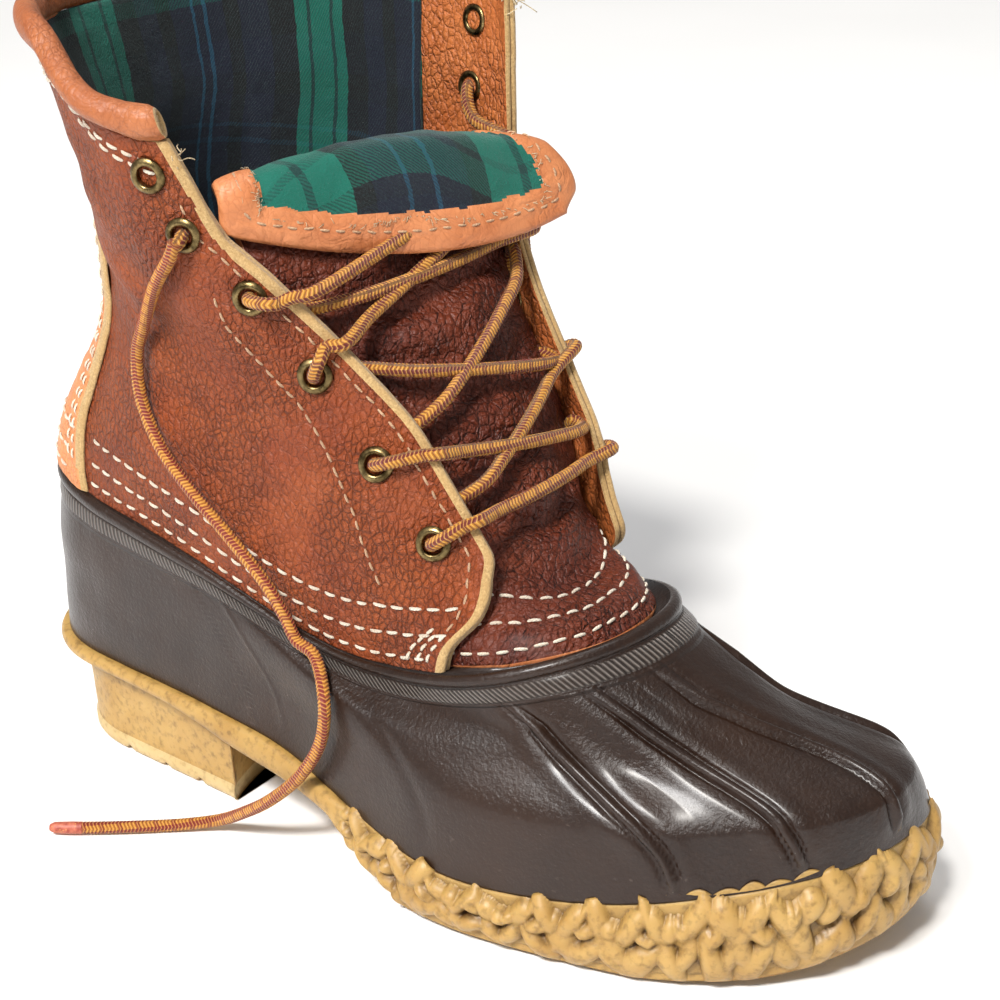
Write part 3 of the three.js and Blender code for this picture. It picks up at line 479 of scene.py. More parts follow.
class Nodes:
    def __init__(self, name):
        self.mat = bpy.data.materials.new(name)
        self.mat.use_nodes = True
        self.nt = self.mat.node_tree
        self.nt.nodes.clear()
        self.out = self.nt.nodes.new("ShaderNodeOutputMaterial")
        self.bsdf = self.nt.nodes.new("ShaderNodeBsdfPrincipled")
        self.nt.links.new(self.bsdf.outputs[0], self.out.inputs[0])
        self.co = self.nt.nodes.new("ShaderNodeTexCoord").outputs["Object"]
        self.uv = self.nt.nodes.new("ShaderNodeUVMap").outputs[0]

    def put(self, sock, v):
        if isinstance(v, bpy.types.NodeSocket):
            self.nt.links.new(v, sock)
        else:
            sock.default_value = v

    def node(self, kind, out=0, props=None, **inp):
        n = self.nt.nodes.new(kind)
        for k, v in (props or {}).items():
            setattr(n, k, v)
        for k, v in inp.items():
            key = int(k[1:]) if k[0] == "i" and k[1:].isdigit() else k.replace("_", " ")
            self.put(n.inputs[key], v)
        return n.outputs[out]

    def math(self, op, a, b=0.0, c=0.0, clamp=False):
        return self.node("ShaderNodeMath", props={"operation": op, "use_clamp": clamp}, i0=a, i1=b, i2=c)

    def noise(self, scale, detail=3.0, rough=0.55, vec=None, distortion=0.0, out=0):
        return self.node("ShaderNodeTexNoise", out=out, Vector=self.co if vec is None else vec, Scale=scale,
                         Detail=detail, Roughness=rough, Distortion=distortion)

    def voronoi(self, scale, feature="F1", vec=None, rand=1.0, out=0):
        return self.node("ShaderNodeTexVoronoi", out=out, props={"feature": feature},
                         Vector=self.co if vec is None else vec, Scale=scale, Randomness=rand)

    def ramp(self, fac, stops, interp="LINEAR"):
        n = self.nt.nodes.new("ShaderNodeValToRGB")
        n.color_ramp.interpolation = interp
        el = n.color_ramp.elements
        while len(el) < len(stops):
            el.new(0.5)
        for e, (p, col) in zip(el, stops):
            e.position = p
            e.color = col if len(np.shape(col)) else (col, col, col, 1)
        self.put(n.inputs[0], fac)
        return n.outputs[0]

    def mix(self, fac, a, b, blend="MIX"):
        n = self.nt.nodes.new("ShaderNodeMix")
        n.data_type, n.blend_type = "RGBA", blend
        self.put(n.inputs[0], fac)
        self.put(n.inputs[6], a)
        self.put(n.inputs[7], b)
        return n.outputs[2]

    def warp(self, amount, scale, vec=None):
        nz = self.noise(scale, 2.0, out=1, vec=vec)
        v = self.node("ShaderNodeVectorMath", props={"operation": "SUBTRACT"}, i0=nz, i1=(0.5, 0.5, 0.5))
        v = self.node("ShaderNodeVectorMath", props={"operation": "SCALE"}, i0=v, Scale=amount)
        return self.node("ShaderNodeVectorMath", props={"operation": "ADD"}, i0=self.co if vec is None else vec, i1=v)

    def bump(self, height, dist, strength=1.0, normal=None):
        n = self.nt.nodes.new("ShaderNodeBump")
        n.inputs["Strength"].default_value = strength
        n.inputs["Distance"].default_value = dist
        self.put(n.inputs["Height"], height)
        if normal is not None:
            self.put(n.inputs["Normal"], normal)
        return n.outputs[0]

    def attr(self, name="mask"):
        n = self.nt.nodes.new("ShaderNodeAttribute")
        n.attribute_name = name
        return n.outputs["Fac"]

    def finish(self, color, rough, normal=None, **sockets):
        self.put(self.bsdf.inputs["Base Color"], color)
        self.put(self.bsdf.inputs["Roughness"], rough)
        if normal is not None:
            self.put(self.bsdf.inputs["Normal"], normal)
        for k, v in sockets.items():
            self.bsdf.inputs[k.replace("_", " ")].default_value = v
        return self.mat


def leather(name, dark, base, light, pebble=2.6, depth=0.45, rough=(0.42, 0.62), coat=0.12, fold=0.0):
    m = Nodes(name)
    w = m.warp(0.0011, 330)
    w = m.node("ShaderNodeMapping", Vector=w, Rotation=(0.3, 0.5, 0.2), Scale=(1.0, 1.2, 0.78))
    cells = m.voronoi(1000 / pebble, "DISTANCE_TO_EDGE", vec=w)
    crack = m.ramp(cells, [(0.0, 0.0), (0.08, 0.40), (0.22, 0.78), (0.50, 1.0)])
    w2 = m.warp(0.0009, 600)
    fine = m.voronoi(1000 / (pebble * 0.55), "DISTANCE_TO_EDGE", vec=w2)
    fine = m.ramp(fine, [(0.0, 0.0), (0.14, 0.55), (0.45, 1.0)])
    big = m.noise(55, 4.0, 0.6)
    mid = m.noise(240, 3.0, 0.6)
    where = m.ramp(m.noise(38, 2.0), [(0.36, 0.35), (0.62, 1.0)])
    h = m.math("MULTIPLY_ADD", crack, 0.70, m.math("MULTIPLY", fine, 0.26))
    h = m.math("MULTIPLY", h, where)
    h = m.math("MULTIPLY_ADD", mid, 0.55, h)
    col = m.mix(m.ramp(big, [(0.32, 0.0), (0.68, 1.0)]), base, light)
    col = m.mix(m.ramp(m.noise(120, 4.0, 0.65), [(0.28, 0.22), (0.55, 0.0)]), col, dark)
    # painted shade: the valleys between the pebbles of the grain are painted darker
    col = m.mix(m.math("MULTIPLY", m.ramp(crack, [(0.0, 0.42), (0.50, 0.0)]), where), col, dark)
    col = m.mix(m.ramp(m.noise(900, 2.0), [(0.66, 0.0), (0.80, 0.25)]), col, light)
    r = m.ramp(m.noise(160, 3.0), [(0.3, rough[0]), (0.7, rough[1])])
    n = m.bump(m.noise(2600, 2.0), 0.00010, 0.5)
    n = m.bump(h, depth / 1000, 0.9, n)
    if fold:
        wv = m.noise(70, 3.0, 0.5, distortion=1.6)
        n = m.bump(m.ramp(wv, [(0.40, 1.0), (0.50, 0.0), (0.60, 1.0)]), fold / 1000, 0.6, n)
    return m.finish(col, r, n, Coat_Weight=coat, Coat_Roughness=0.35, Specular_IOR_Level=0.36)


def suede(name, dark, base, light):
    m = Nodes(name)
    fib = m.noise(1400, 4.0, 0.7)
    col = m.mix(m.ramp(fib, [(0.3, 0.0), (0.7, 1.0)]), dark, light)
    col = m.mix(m.ramp(m.noise(210, 3.0), [(0.35, 0.2), (0.7, 0.8)]), col, base)
    core = m.ramp(m.attr(), [(0.42, 0.0), (0.5, 1.0), (0.58, 0.0)])
    col = m.mix(m.math("MULTIPLY", core, 0.8), col, srgb(70, 44, 24))
    n = m.bump(fib, 0.0004, 0.9)
    return m.finish(col, 0.93, n, Sheen_Weight=0.25, Sheen_Roughness=0.5)


M_QUARTER = leather("quarter_leather", srgb(54, 18, 6), srgb(124, 52, 16), srgb(144, 68, 25), pebble=2.5, depth=2.1, rough=(0.46, 0.62), coat=0.05)
# the tongue's leather colours are painted darker than the quarter's: painted shade for the shadow between the facings
M_TONGUE_SHADED = leather("tongue_leather", srgb(34, 10, 5), srgb(82, 28, 11), srgb(106, 44, 19), pebble=2.9, depth=2.0, rough=(0.45, 0.6), coat=0.08, fold=0.8)
M_COLLAR = leather("collar_leather", srgb(104, 46, 18), srgb(150, 82, 44), srgb(172, 104, 62), pebble=2.2, depth=0.3, rough=(0.4, 0.55), fold=0.5)
M_STRAP = leather("strap_leather", srgb(146, 76, 34), srgb(204, 124, 72), srgb(222, 150, 98), pebble=2.6, depth=0.5, coat=0.05, fold=0.6)
M_SMOOTH = leather("binding_leather", srgb(130, 62, 28), srgb(180, 106, 62), srgb(202, 132, 86), pebble=2.2, depth=0.16, rough=(0.4, 0.55), fold=0.35)
M_FACING = leather("facing_leather", srgb(96, 40, 14), srgb(164, 86, 40), srgb(184, 106, 54), pebble=2.6, depth=1.3, coat=0.04)
M_EDGE = suede("raw_edge", srgb(128, 98, 56), srgb(176, 140, 88), srgb(212, 180, 126))
M_EDGE_RED = suede("raw_edge_red", srgb(120, 62, 34), srgb(166, 92, 56), srgb(196, 126, 86))


def rubber():
    m = Nodes("brown_rubber")
    sep = m.nt.nodes.new("ShaderNodeSeparateXYZ")
    m.put(sep.inputs[0], m.uv)
    u, v = sep.outputs[0], sep.outputs[1]
    # ribbed band just below the rolled rim: v is millimetres below the rim's top
    rib = m.math("SINE", m.math("MULTIPLY", u, 2 * math.pi / 1.75))
    rib = m.math("MULTIPLY_ADD", rib, 0.5, 0.5)
    band = m.ramp(m.math("DIVIDE", v, 20.0), [(0.285, 0.0), (0.315, 1.0), (0.555, 1.0), (0.585, 0.0)])
    ribh = m.math("MULTIPLY", rib, band)
    lip = m.ramp(m.math("DIVIDE", v, 20.0), [(0.56, 0.0), (0.59, 1.0), (0.63, 1.0), (0.66, 0.0)])
    grain = m.noise(900, 3.0, 0.6)
    peel = m.voronoi(520, "SMOOTH_F1")
    wave = m.noise(90, 3.0, 0.55)
    col = m.mix(m.ramp(m.noise(30, 4.0), [(0.3, 0.0), (0.7, 1.0)]), srgb(27, 13, 6), srgb(42, 24, 13))
    col = m.mix(m.ramp(grain, [(0.45, 0.0), (0.8, 0.35)]), col, srgb(56, 38, 26))
    scratch = m.noise(1.0, 2.0, 0.5, vec=m.node("ShaderNodeMapping", Vector=m.warp(0.004, 30), Scale=(1600, 180, 500)))
    col = m.mix(m.ramp(scratch, [(0.70, 0.0), (0.80, 0.18)]), col, srgb(128, 112, 104))
    speck = m.voronoi(330, vec=m.warp(0.001, 400))
    speck = m.math("MULTIPLY", m.ramp(speck, [(0.03, 1.0), (0.06, 0.0)]), m.ramp(m.noise(60, 1.0), [(0.60, 0.0), (0.66, 1.0)]))
    col = m.mix(m.math("MULTIPLY", speck, 0.7), col, srgb(215, 208, 200))
    # painted highlight: the crests of the ribs in the band are painted pale grey
    col = m.mix(m.math("MULTIPLY", ribh, 0.55), col, srgb(150, 140, 132))
    r = m.ramp(m.noise(70, 4.0), [(0.3, 0.32), (0.7, 0.46)])
    n = m.bump(wave, 0.0005, 0.30)
    n = m.bump(m.math("MULTIPLY_ADD", grain, 0.8, m.math("MULTIPLY", peel, 0.3)), 0.00042, 0.9, n)
    n = m.bump(m.math("MULTIPLY_ADD", lip, 0.6, ribh), 0.0011, 1.0, n)
    return m.finish(col, r, n, Coat_Weight=0.28, Coat_Roughness=0.20, Specular_IOR_Level=0.30)


M_RUBBER = rubber()


def gum(name, dark, base, light, rough=(0.42, 0.6)):
    m = Nodes(name)
    big = m.noise(60, 4.0, 0.6)
    col = m.mix(m.ramp(big, [(0.3, 0.0), (0.7, 1.0)]), base, light)
    # painted shade: the gum is painted darker where ambient occlusion finds it enclosed, in its gaps and recesses
    occlusion_shade = m.node("ShaderNodeAmbientOcclusion", out=1, props={"samples": 6, "only_local": True}, Distance=0.006)
    col = m.mix(m.ramp(occlusion_shade, [(0.30, 1.0), (0.92, 0.0)]), col, dark)
    col = m.mix(m.ramp(m.noise(420, 3.0), [(0.30, 0.45), (0.5, 0.0)]), col, dark)
    dirt = m.ramp(m.noise(26, 5.0, 0.7), [(0.60, 0.0), (0.76, 0.35)])
    col = m.mix(dirt, col, srgb(150, 116, 66))
    r = m.ramp(m.noise(150, 3.0), [(0.3, rough[0]), (0.7, rough[1])])
    n = m.bump(m.noise(900, 3.0), 0.00016, 0.6)
    n = m.bump(m.noise(110, 2.0), 0.0003, 0.3, n)
    return m.finish(col, r, n, Coat_Weight=0.08, Coat_Roughness=0.4, Subsurface_Weight=0.04, Subsurface_Scale=0.004)


M_GUM = gum("gum_sole", srgb(70, 42, 10), srgb(164, 126, 64), srgb(184, 148, 84))
M_GUM_PALE = gum("gum_lip", srgb(134, 104, 54), srgb(188, 160, 106), srgb(200, 176, 128))
M_TREAD = gum("gum_tread", srgb(110, 80, 40), srgb(176, 138, 76), srgb(190, 154, 92), rough=(0.6, 0.8))


def plaid(name, period, across, along, stops, weft_share, fuzz_share):
    # twill flannel: uv is millimetres across and along the cloth
    m = Nodes(name)
    nz = m.noise(260, 3.0, out=1)
    off = m.node("ShaderNodeVectorMath", props={"operation": "SUBTRACT"}, i0=nz, i1=(0.5, 0.5, 0.5))
    off = m.node("ShaderNodeVectorMath", props={"operation": "SCALE"}, i0=off, Scale=1.6)
    uvw = m.node("ShaderNodeVectorMath", props={"operation": "ADD"}, i0=m.uv, i1=off)
    sep = m.nt.nodes.new("ShaderNodeSeparateXYZ")
    m.put(sep.inputs[0], uvw)
    navy, black, green, deep = srgb(9, 13, 33), srgb(4, 5, 8), srgb(2, 94, 78), srgb(3, 48, 44)
    blue, pale = srgb(20, 62, 84), srgb(34, 122, 92)

    shade = {"G": green, "D": deep, "K": black, "N": navy, "B": blue}

    def sett(x, shift):
        q = m.math("FRACT", m.math("DIVIDE", m.math("ADD", x, shift), period))
        return m.ramp(q, [(at_, shade[c]) for at_, c in stops], "CONSTANT")
    warp_ = sett(sep.outputs[0], across)
    weft = sett(sep.outputs[1], along)
    # diagonal rib of the twill picks warp or weft threads
    tw = m.math("FRACT", m.math("DIVIDE", m.math("ADD", sep.outputs[0], sep.outputs[1]), 1.3))
    pick = m.ramp(tw, [(0.30, 0.05), (0.62, weft_share)])
    col = m.mix(pick, warp_, weft)
    fuzz = m.noise(1500, 4.0, 0.7)
    col = m.mix(m.ramp(fuzz, [(0.45, 0.0), (0.85, fuzz_share)]), col, srgb(70, 104, 104))
    col = m.mix(m.ramp(m.noise(2600, 2.0), [(0.72, 0.0), (0.80, 0.35)]), col, srgb(190, 204, 200))
    n = m.bump(m.math("MULTIPLY_ADD", tw, 0.5, fuzz), 0.0005, 0.9)
    n = m.bump(m.noise(70, 3.0), 0.0016, 0.5, n)
    return m.finish(col, 0.95, n, Sheen_Weight=0.16, Sheen_Roughness=0.4, Sheen_Tint=(0.6, 0.8, 0.78, 1))


# where each stripe of the sett starts, as a share of the repeat
SETT_FLAP = [(0.0, "G"), (0.10, "D"), (0.13, "G"), (0.26, "K"), (0.33, "N"), (0.44, "B"), (0.455, "N"),
             (0.54, "B"), (0.555, "N"), (0.67, "K"), (0.74, "G"), (0.87, "D"), (0.90, "G")]
SETT_LINING = [(0.0, "G"), (0.045, "D"), (0.06, "G"), (0.11, "K"), (0.22, "N"), (0.34, "K"), (0.40, "N"), (0.47, "B"),
               (0.485, "N"), (0.52, "B"), (0.535, "N"), (0.62, "K"), (0.68, "N"), (0.78, "K"), (0.89, "G"), (0.94, "D"), (0.955, "G")]
M_PLAID = plaid("flannel_flap", 84.0, 42.0, 12.0, SETT_FLAP, 0.50, 0.22)
M_LINING = plaid("flannel_shaft", 100.0, 70.0, 40.0, SETT_LINING, 0.34, 0.16)


def thread(name, base, dark, twist=1.1):
    m = Nodes(name)
    sep = m.nt.nodes.new("ShaderNodeSeparateXYZ")
    m.put(sep.inputs[0], m.uv)
    q = m.math("FRACT", m.math("ADD", m.math("DIVIDE", sep.outputs[0], twist), m.math("MULTIPLY", sep.outputs[1], 2.0)))
    ply = m.ramp(q, [(0.0, 0.0), (0.5, 1.0), (1.0, 0.0)])
    # painted shade: the grooves between the plies are painted darker
    col = m.mix(m.ramp(ply, [(0.0, 0.55), (0.4, 0.0)]), base, dark)
    col = m.mix(m.ramp(m.noise(130, 3.0), [(0.4, 0.0), (0.75, 0.5)]), col, dark)
    n = m.bump(ply, 0.00018, 0.8)
    return m.finish(col, 0.75, n, Sheen_Weight=0.2)


M_STITCH = thread("white_thread", srgb(222, 212, 194), srgb(160, 128, 96))
M_STITCH_TAN = thread("tan_thread", srgb(196, 158, 122), srgb(120, 76, 44))
M_FRAY = thread("frayed_thread", srgb(214, 196, 160), srgb(150, 120, 80))


def brass():
    m = Nodes("eyelet_brass")
    col = m.mix(m.ramp(m.noise(320, 4.0, 0.65), [(0.35, 0.0), (0.65, 1.0)]), srgb(66, 54, 32), srgb(142, 122, 82))
    # painted shade: the brass is painted darker where ambient occlusion finds it enclosed, in the hole and under the
    # rim
    occlusion_shade = m.node("ShaderNodeAmbientOcclusion", out=1, props={"samples": 4, "only_local": True}, Distance=0.002)
    col = m.mix(m.ramp(occlusion_shade, [(0.3, 0.8), (0.8, 0.0)]), col, srgb(40, 30, 18))
    r = m.ramp(m.noise(500, 3.0), [(0.3, 0.22), (0.7, 0.42)])
    n = m.bump(m.noise(1400, 3.0), 0.00006, 0.5)
    return m.finish(col, r, n, Metallic=1.0)


M_BRASS = brass()


def braid(name, main, second, strand_gap_shade, share):
    m = Nodes(name)
    sep = m.nt.nodes.new("ShaderNodeSeparateXYZ")
    m.put(sep.inputs[0], m.uv)
    u, v = sep.outputs[0], sep.outputs[1]
    # herringbone plait: short slanted strands, mirrored along the two sides of the cord
    arm = m.math("ABSOLUTE", m.math("SUBTRACT", m.math("FRACT", m.math("MULTIPLY", v, 3.0)), 0.5))
    q = m.math("ADD", m.math("DIVIDE", u, 1.15), m.math("MULTIPLY", arm, 1.5))
    fr_ = m.math("FRACT", q)
    strand = m.ramp(fr_, [(0.0, 0.0), (0.5, 1.0), (1.0, 0.0)])
    lane = m.math("FRACT", m.math("MULTIPLY_ADD", v, 3.0, m.math("DIVIDE", u, 52.0)))
    turn = m.math("FRACT", m.math("DIVIDE", m.math("FLOOR", q), 5.0))
    odd = m.math("LESS_THAN", turn, 0.19)
    red1 = m.math("LESS_THAN", lane, share)
    sel = m.math("MAXIMUM", red1, m.math("MULTIPLY", odd, 0.8))
    col = m.mix(sel, main, second)
    # painted highlight: the middle of each strand is painted brighter gold
    col = m.mix(m.ramp(strand, [(0.62, 0.0), (0.95, 0.45)]), col, srgb(232, 190, 96))
    # painted shade: the gaps between the strands are painted in a dark colour
    col = m.mix(m.ramp(strand, [(0.0, 0.85), (0.38, 0.0)]), col, strand_gap_shade)
    fib = m.noise(2200, 3.0, 0.7)
    col = m.mix(m.ramp(fib, [(0.60, 0.0), (0.85, 0.20)]), col, srgb(236, 200, 116))
    n = m.bump(m.math("MULTIPLY_ADD", fib, 0.25, strand), 0.00030, 0.9)
    return m.finish(col, 0.62, n, Sheen_Weight=0.12)


M_LACE = braid("lace_cord", srgb(172, 110, 22), srgb(104, 20, 10), srgb(70, 22, 8), 0.34)
# the free end's cord is the same lace with its colours painted brighter: painted light, with more red lanes in its
# pattern
M_LACE_END_LIT = braid("lace_cord_end", srgb(184, 116, 34), srgb(132, 34, 20), srgb(84, 24, 10), 0.42)


def tip():
    m = Nodes("fused_tip")
    col = m.mix(m.ramp(m.noise(500, 3.0), [(0.35, 0.0), (0.65, 1.0)]), srgb(150, 62, 48), srgb(196, 112, 84))
    col = m.mix(m.ramp(m.voronoi(900), [(0.12, 0.8), (0.25, 0.0)]), col, srgb(214, 168, 84))
    return m.finish(col, 0.5, m.bump(m.noise(1500, 2.0), 0.0002, 0.7))


M_TIP = tip()


def footbed_cloth():
    m = Nodes("footbed")
    w1 = m.node("ShaderNodeTexWave", props={"wave_type": "BANDS", "bands_direction": "X"}, Vector=m.co, Scale=260.0, Distortion=1.0)
    w2 = m.node("ShaderNodeTexWave", props={"wave_type": "BANDS", "bands_direction": "Y"}, Vector=m.co, Scale=260.0, Distortion=1.0)
    w = m.math("MULTIPLY", w1, w2)
    col = m.mix(m.ramp(w, [(0.1, 0.0), (0.8, 1.0)]), srgb(96, 76, 52), srgb(158, 134, 98))
    col = m.mix(m.ramp(m.noise(40, 4.0), [(0.5, 0.0), (0.8, 0.4)]), col, srgb(80, 62, 42))
    return m.finish(col, 0.95, m.bump(w, 0.0003, 0.8), Sheen_Weight=0.2)


M_FOOTBED = footbed_cloth()


def done(obj, *nodes, slot=None):
    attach(obj, "root")
    if nodes:
        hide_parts(*nodes)
    return obj


# ------------------------------------------------------------------ lace: free end first
LACE_SIDE = [
    # level reach height over the surface
    (1.868, 0.808, 5.0), (1.845, 0.765, 4.4), (1.78, 0.63, 3.0), (1.59, 0.36, 3.0), (1.49, 0.285, 3.2),
    (1.40, 0.290, 3.2), (1.32, 0.35, 3.0), (1.26, 0.42, 3.0), (1.20, 0.49, 3.2), (1.13, 0.545, 3.6),
    (1.07, 0.56, 4.4), (0.99, 0.56, 5.4), (0.86, 0.55, 4.4),
]
LACE_GROUND = [
    (-50.2, 3.7, 61.0), (-50.6, 5.4, 47.2), (-51.3, 13.6, 32.8), (-52.0, 26.3, 19.8), (-51.5, 37.8, 11.2),
    (-51.6, 49.0, 4.4), (-58.3, 60.0, 2.2), (-67.7, 71.5, 2.2), (-75.9, 82.4, 2.2), (-83.1, 92.9, 2.2),
]


def on_last(side, h, f, off=0.0):
    # side -1 lateral, +1 medial
    return shell(part_around(f) * (1.0 if side < 0 else -1.0), h, off)


def lace_bump(P, r, seed=0):
    # plaited relief on the cord
    s = arc(P)
    a = np.arange(14) / 14
    U, A = np.meshgrid(s, a, indexing="ij")
    arm = np.abs((3 * A) % 1 - 0.5)
    w = np.cos(2 * np.pi * (U / 1.15 + 1.5 * arm - 0.5))
    return r * (0.955 + 0.045 * w)


side_pts = [on_last(-1, h, f, o) for h, f, o in LACE_SIDE]
free_route = np.vstack(side_pts + [np.array(LACE_GROUND)])
free_line = catmull(free_route, 0.35)
FREE_LENGTH = arc(free_line)[-1]
h_ = Heap()
n_tip = int(11 / 0.35)
add_tube(h_, free_line[:-n_tip + 1], LACE / 2, 14, mi=0, bump=lace_bump(free_line[:-n_tip + 1], LACE / 2 * 1.0), squash=1.0)
tip_line = free_line[-n_tip:]
tr = LACE / 2 * np.interp(np.linspace(0, 1, len(tip_line)), [0, 0.3, 0.85, 1.0], [0.97, 1.0, 0.92, 0.55])
add_tube(h_, tip_line, LACE / 2, 14, mi=1, bump=tr)
lace_free = done(h_.build("lace_free_end", [M_LACE_END_LIT, M_TIP]), "lace_end", slot="lace_cord")

# ------------------------------------------------------------------ sole
NP = 360
EDGE_T = -1 + 2 * (np.arange(NP) + 0.5) / NP


def sole_ring(off, z, t=EDGE_T):
    P, _ = edge_point(t, off)
    P = P.copy()
    P[:, 2] = z(P[:, 1]) if callable(z) else np.asarray(z)
    return P


def fill(heap, base, m, mi, flip=False):
    # strips between opposite points of a ring of m points whose ends lie at the front
    k = np.arange(m // 2 - 1)
    Q = np.stack([base + k, base + k + 1, base + m - 2 - k, base + m - 1 - k], 1)
    heap.Q.append((Q[:, ::-1] if flip else Q, np.full(len(Q), mi)))


edge0, _ = edge_point(EDGE_T, 0.0)
rim_under = lambda y: pchip(*RIM_UNDER, y)
under = lambda y: pchip(*UNDERSIDE, y)
h_ = Heap()
rings = []
top_z = edge0[:, 2]
lo_z = rim_under(edge0[:, 1])
rings.append(sole_ring(-9.0, lambda y: under(y) + 0.2))
rings.append(sole_ring(-3.5, lambda y: np.minimum(under(y), rim_under(y)) + 0.2))
for off, s in ((1.2, 0.0), (2.4, 0.05), (RIM_PROUD, 0.18), (RIM_PROUD + 0.3, 0.4), (RIM_PROUD + 0.2, 0.62), (RIM_PROUD - 0.3, 0.82), (2.0, 0.95), (1.0, 1.0), (-0.4, 1.0)):
    knot = np.clip((2.0 - edge0[:, 1]) / 10.0, 0, 1)
    P = sole_ring(off - np.maximum(off + 0.6, 0) * 0.9 * knot, 0.0)
    P[:, 2] = lo_z + (top_z - 0.4 - lo_z) * s
    rings.append(P)
rings.append(sole_ring(-4.6, lambda y: np.interp(np.arange(NP), np.arange(NP), top_z) - 1.0))
rings.append(sole_ring(-4.8, lambda y: pchip(*FOOTBED, y)))
R = np.stack(rings, 1)
b = h_.add(R, Q=grid_faces(NP, R.shape[1], wrap_u=True), mi=0)
K = R.shape[1]
idx0, idx1 = b + np.arange(NP) * K, b + np.arange(NP) * K + K - 1
for idx, mi in ((idx0, 1), (idx1, 0)):
    k = np.arange(NP // 2 - 1)
    h_.Q.append((np.stack([idx[k], idx[k + 1], idx[NP - 2 - k], idx[NP - 1 - k]], 1), np.full(len(k), mi)))

# heel block with a hollowed breast, a paler moulded lip and three cross grooves
NB = 220
reach = float(part_around(0.335))
kk = (np.arange(NB // 2) + 0.5) / (NB // 2)
tb = np.r_[reach * kk, -reach * kk[::-1]]


def block_ring(z, grow, notch=0.0):
    P, _ = edge_point(tb, grow - HEEL["inset"])
    P = P.copy()
    P[:, 1] = np.maximum(HEEL["breast"], 60 + (P[:, 1] - 60) * HEEL["shorten"])
    P[:, 2] = z
    if notch:
        for y in HEEL_GROOVES:
            g = np.exp(-((P[:, 1] - y) / 1.1) ** 4)
            P[:, 2] += notch * g
    return P


rows = [block_ring(0.0, -1.0, 2.0), block_ring(0.5, -0.2, 1.7), block_ring(1.4, 0.25, 1.0), block_ring(4.6, 0.35), block_ring(5.4, -0.25), block_ring(6.0, -0.35),
        block_ring(12.0, 0.0), block_ring(18.0, 0.25), block_ring(24.0, 0.7), block_ring(28.0, 1.2)]
B = np.stack(rows, 1)
# breast: the front edge is bowed back between the two corners
NBR = 24
left, rgt = B[NB // 2 - 1], B[NB // 2]
mids = []
for q in range(1, NBR):
    s = q / NBR
    P = left * (1 - s) + rgt * s
    P[:, 1] += HEEL["hollow"] * 4 * s * (1 - s)
    mids.append(P)
B = np.concatenate([B[:NB // 2], np.array(mids), B[NB // 2:]], 0)
m = len(B)
mat_rows = np.array([0, 2, 2, 2, 0, 0, 0, 0, 0])
F = grid_faces(m, B.shape[1], wrap_u=True)
fm = mat_rows[(np.arange(len(F)) % (B.shape[1] - 1))]
b = h_.add(B, Q=F, mi=fm)
cyl = B[:, 0].mean(0)
bottom = np.stack([b + np.arange(m) * B.shape[1]], 1)[:, 0]
# bottom face: strips between opposite sides, with the grooves crossing it
half = NB // 2
k = np.arange(half - 1)
opp = m - 1 - k
h_.Q.append((np.stack([bottom[k], bottom[k + 1], bottom[opp - 1], bottom[opp]], 1), np.full(len(k), 1)))
front = bottom[half - 1:half - 1 + NBR + 1]
h_.T.append((np.stack([np.full(NBR - 1, front[0]), front[1:-1], front[2:]], 1), np.full(NBR - 1, 1)))

# tread bars across the forefoot
LB = LUG_BARS
ins = sole_ring(-5.5, 0.0)
lat, med = ins[EDGE_T > 0], ins[EDGE_T < 0]
o1, o2 = np.argsort(lat[:, 1]), np.argsort(med[:, 1])
for q in range(LB["count"]):
    yc = LB["first"] + LB["pitch"] * q
    xs = np.linspace(np.interp(yc, lat[o1, 1], lat[o1, 0]) + 1, np.interp(yc, med[o2, 1], med[o2, 0]) - 1, 60)
    wv = LB["wave"] * np.sin(LB["waves"] * 2 * np.pi * (xs + 62) / 124)
    w = LB["width"] / 2
    prof = [(-w - 0.3, 3.6), (-w, 1.0), (-w + 0.6, 0.0), (w - 0.6, 0.0), (w, 1.0), (w + 0.3, 3.6)]
    P = np.stack([np.stack([xs, yc + wv + dy, np.maximum(z + 0 * xs, 0 * xs) + (under(yc + wv + dy) - 3.2) * (z > 3)], 1) for dy, z in prof], 1)
    base = h_.add(P, Q=grid_faces(60, 6), mi=1)
    for e in (0, 59):
        i = base + e * 6 + np.arange(6)
        h_.Q.append((np.array([[i[0], i[1], i[4], i[5]], [i[1], i[2], i[3], i[4]]]), np.array([1, 1])))

# moulded knots round the forefoot edge: groups of overlapping rounded lobes
ring_line = sole_ring(RIM_PROUD - 0.6, 0.0)
t_dense = np.linspace(-1, 1, 4001)[:-1]
E, EN = edge_point(t_dense, 0.0)
order = np.argsort((t_dense + 1.0) % 2.0)
# walk from the lateral waist round the toe to the medial waist
walk = np.r_[np.where(t_dense > 0)[0], np.where(t_dense < 0)[0]]
E, EN = E[walk], EN[walk]
start = np.argmax(E[:, 1] < 4.0)
endi = len(E) - 1 - np.argmax(E[::-1, 1] < 0.0)
E, EN = E[start:endi + 1], EN[start:endi + 1]
S = arc(E)
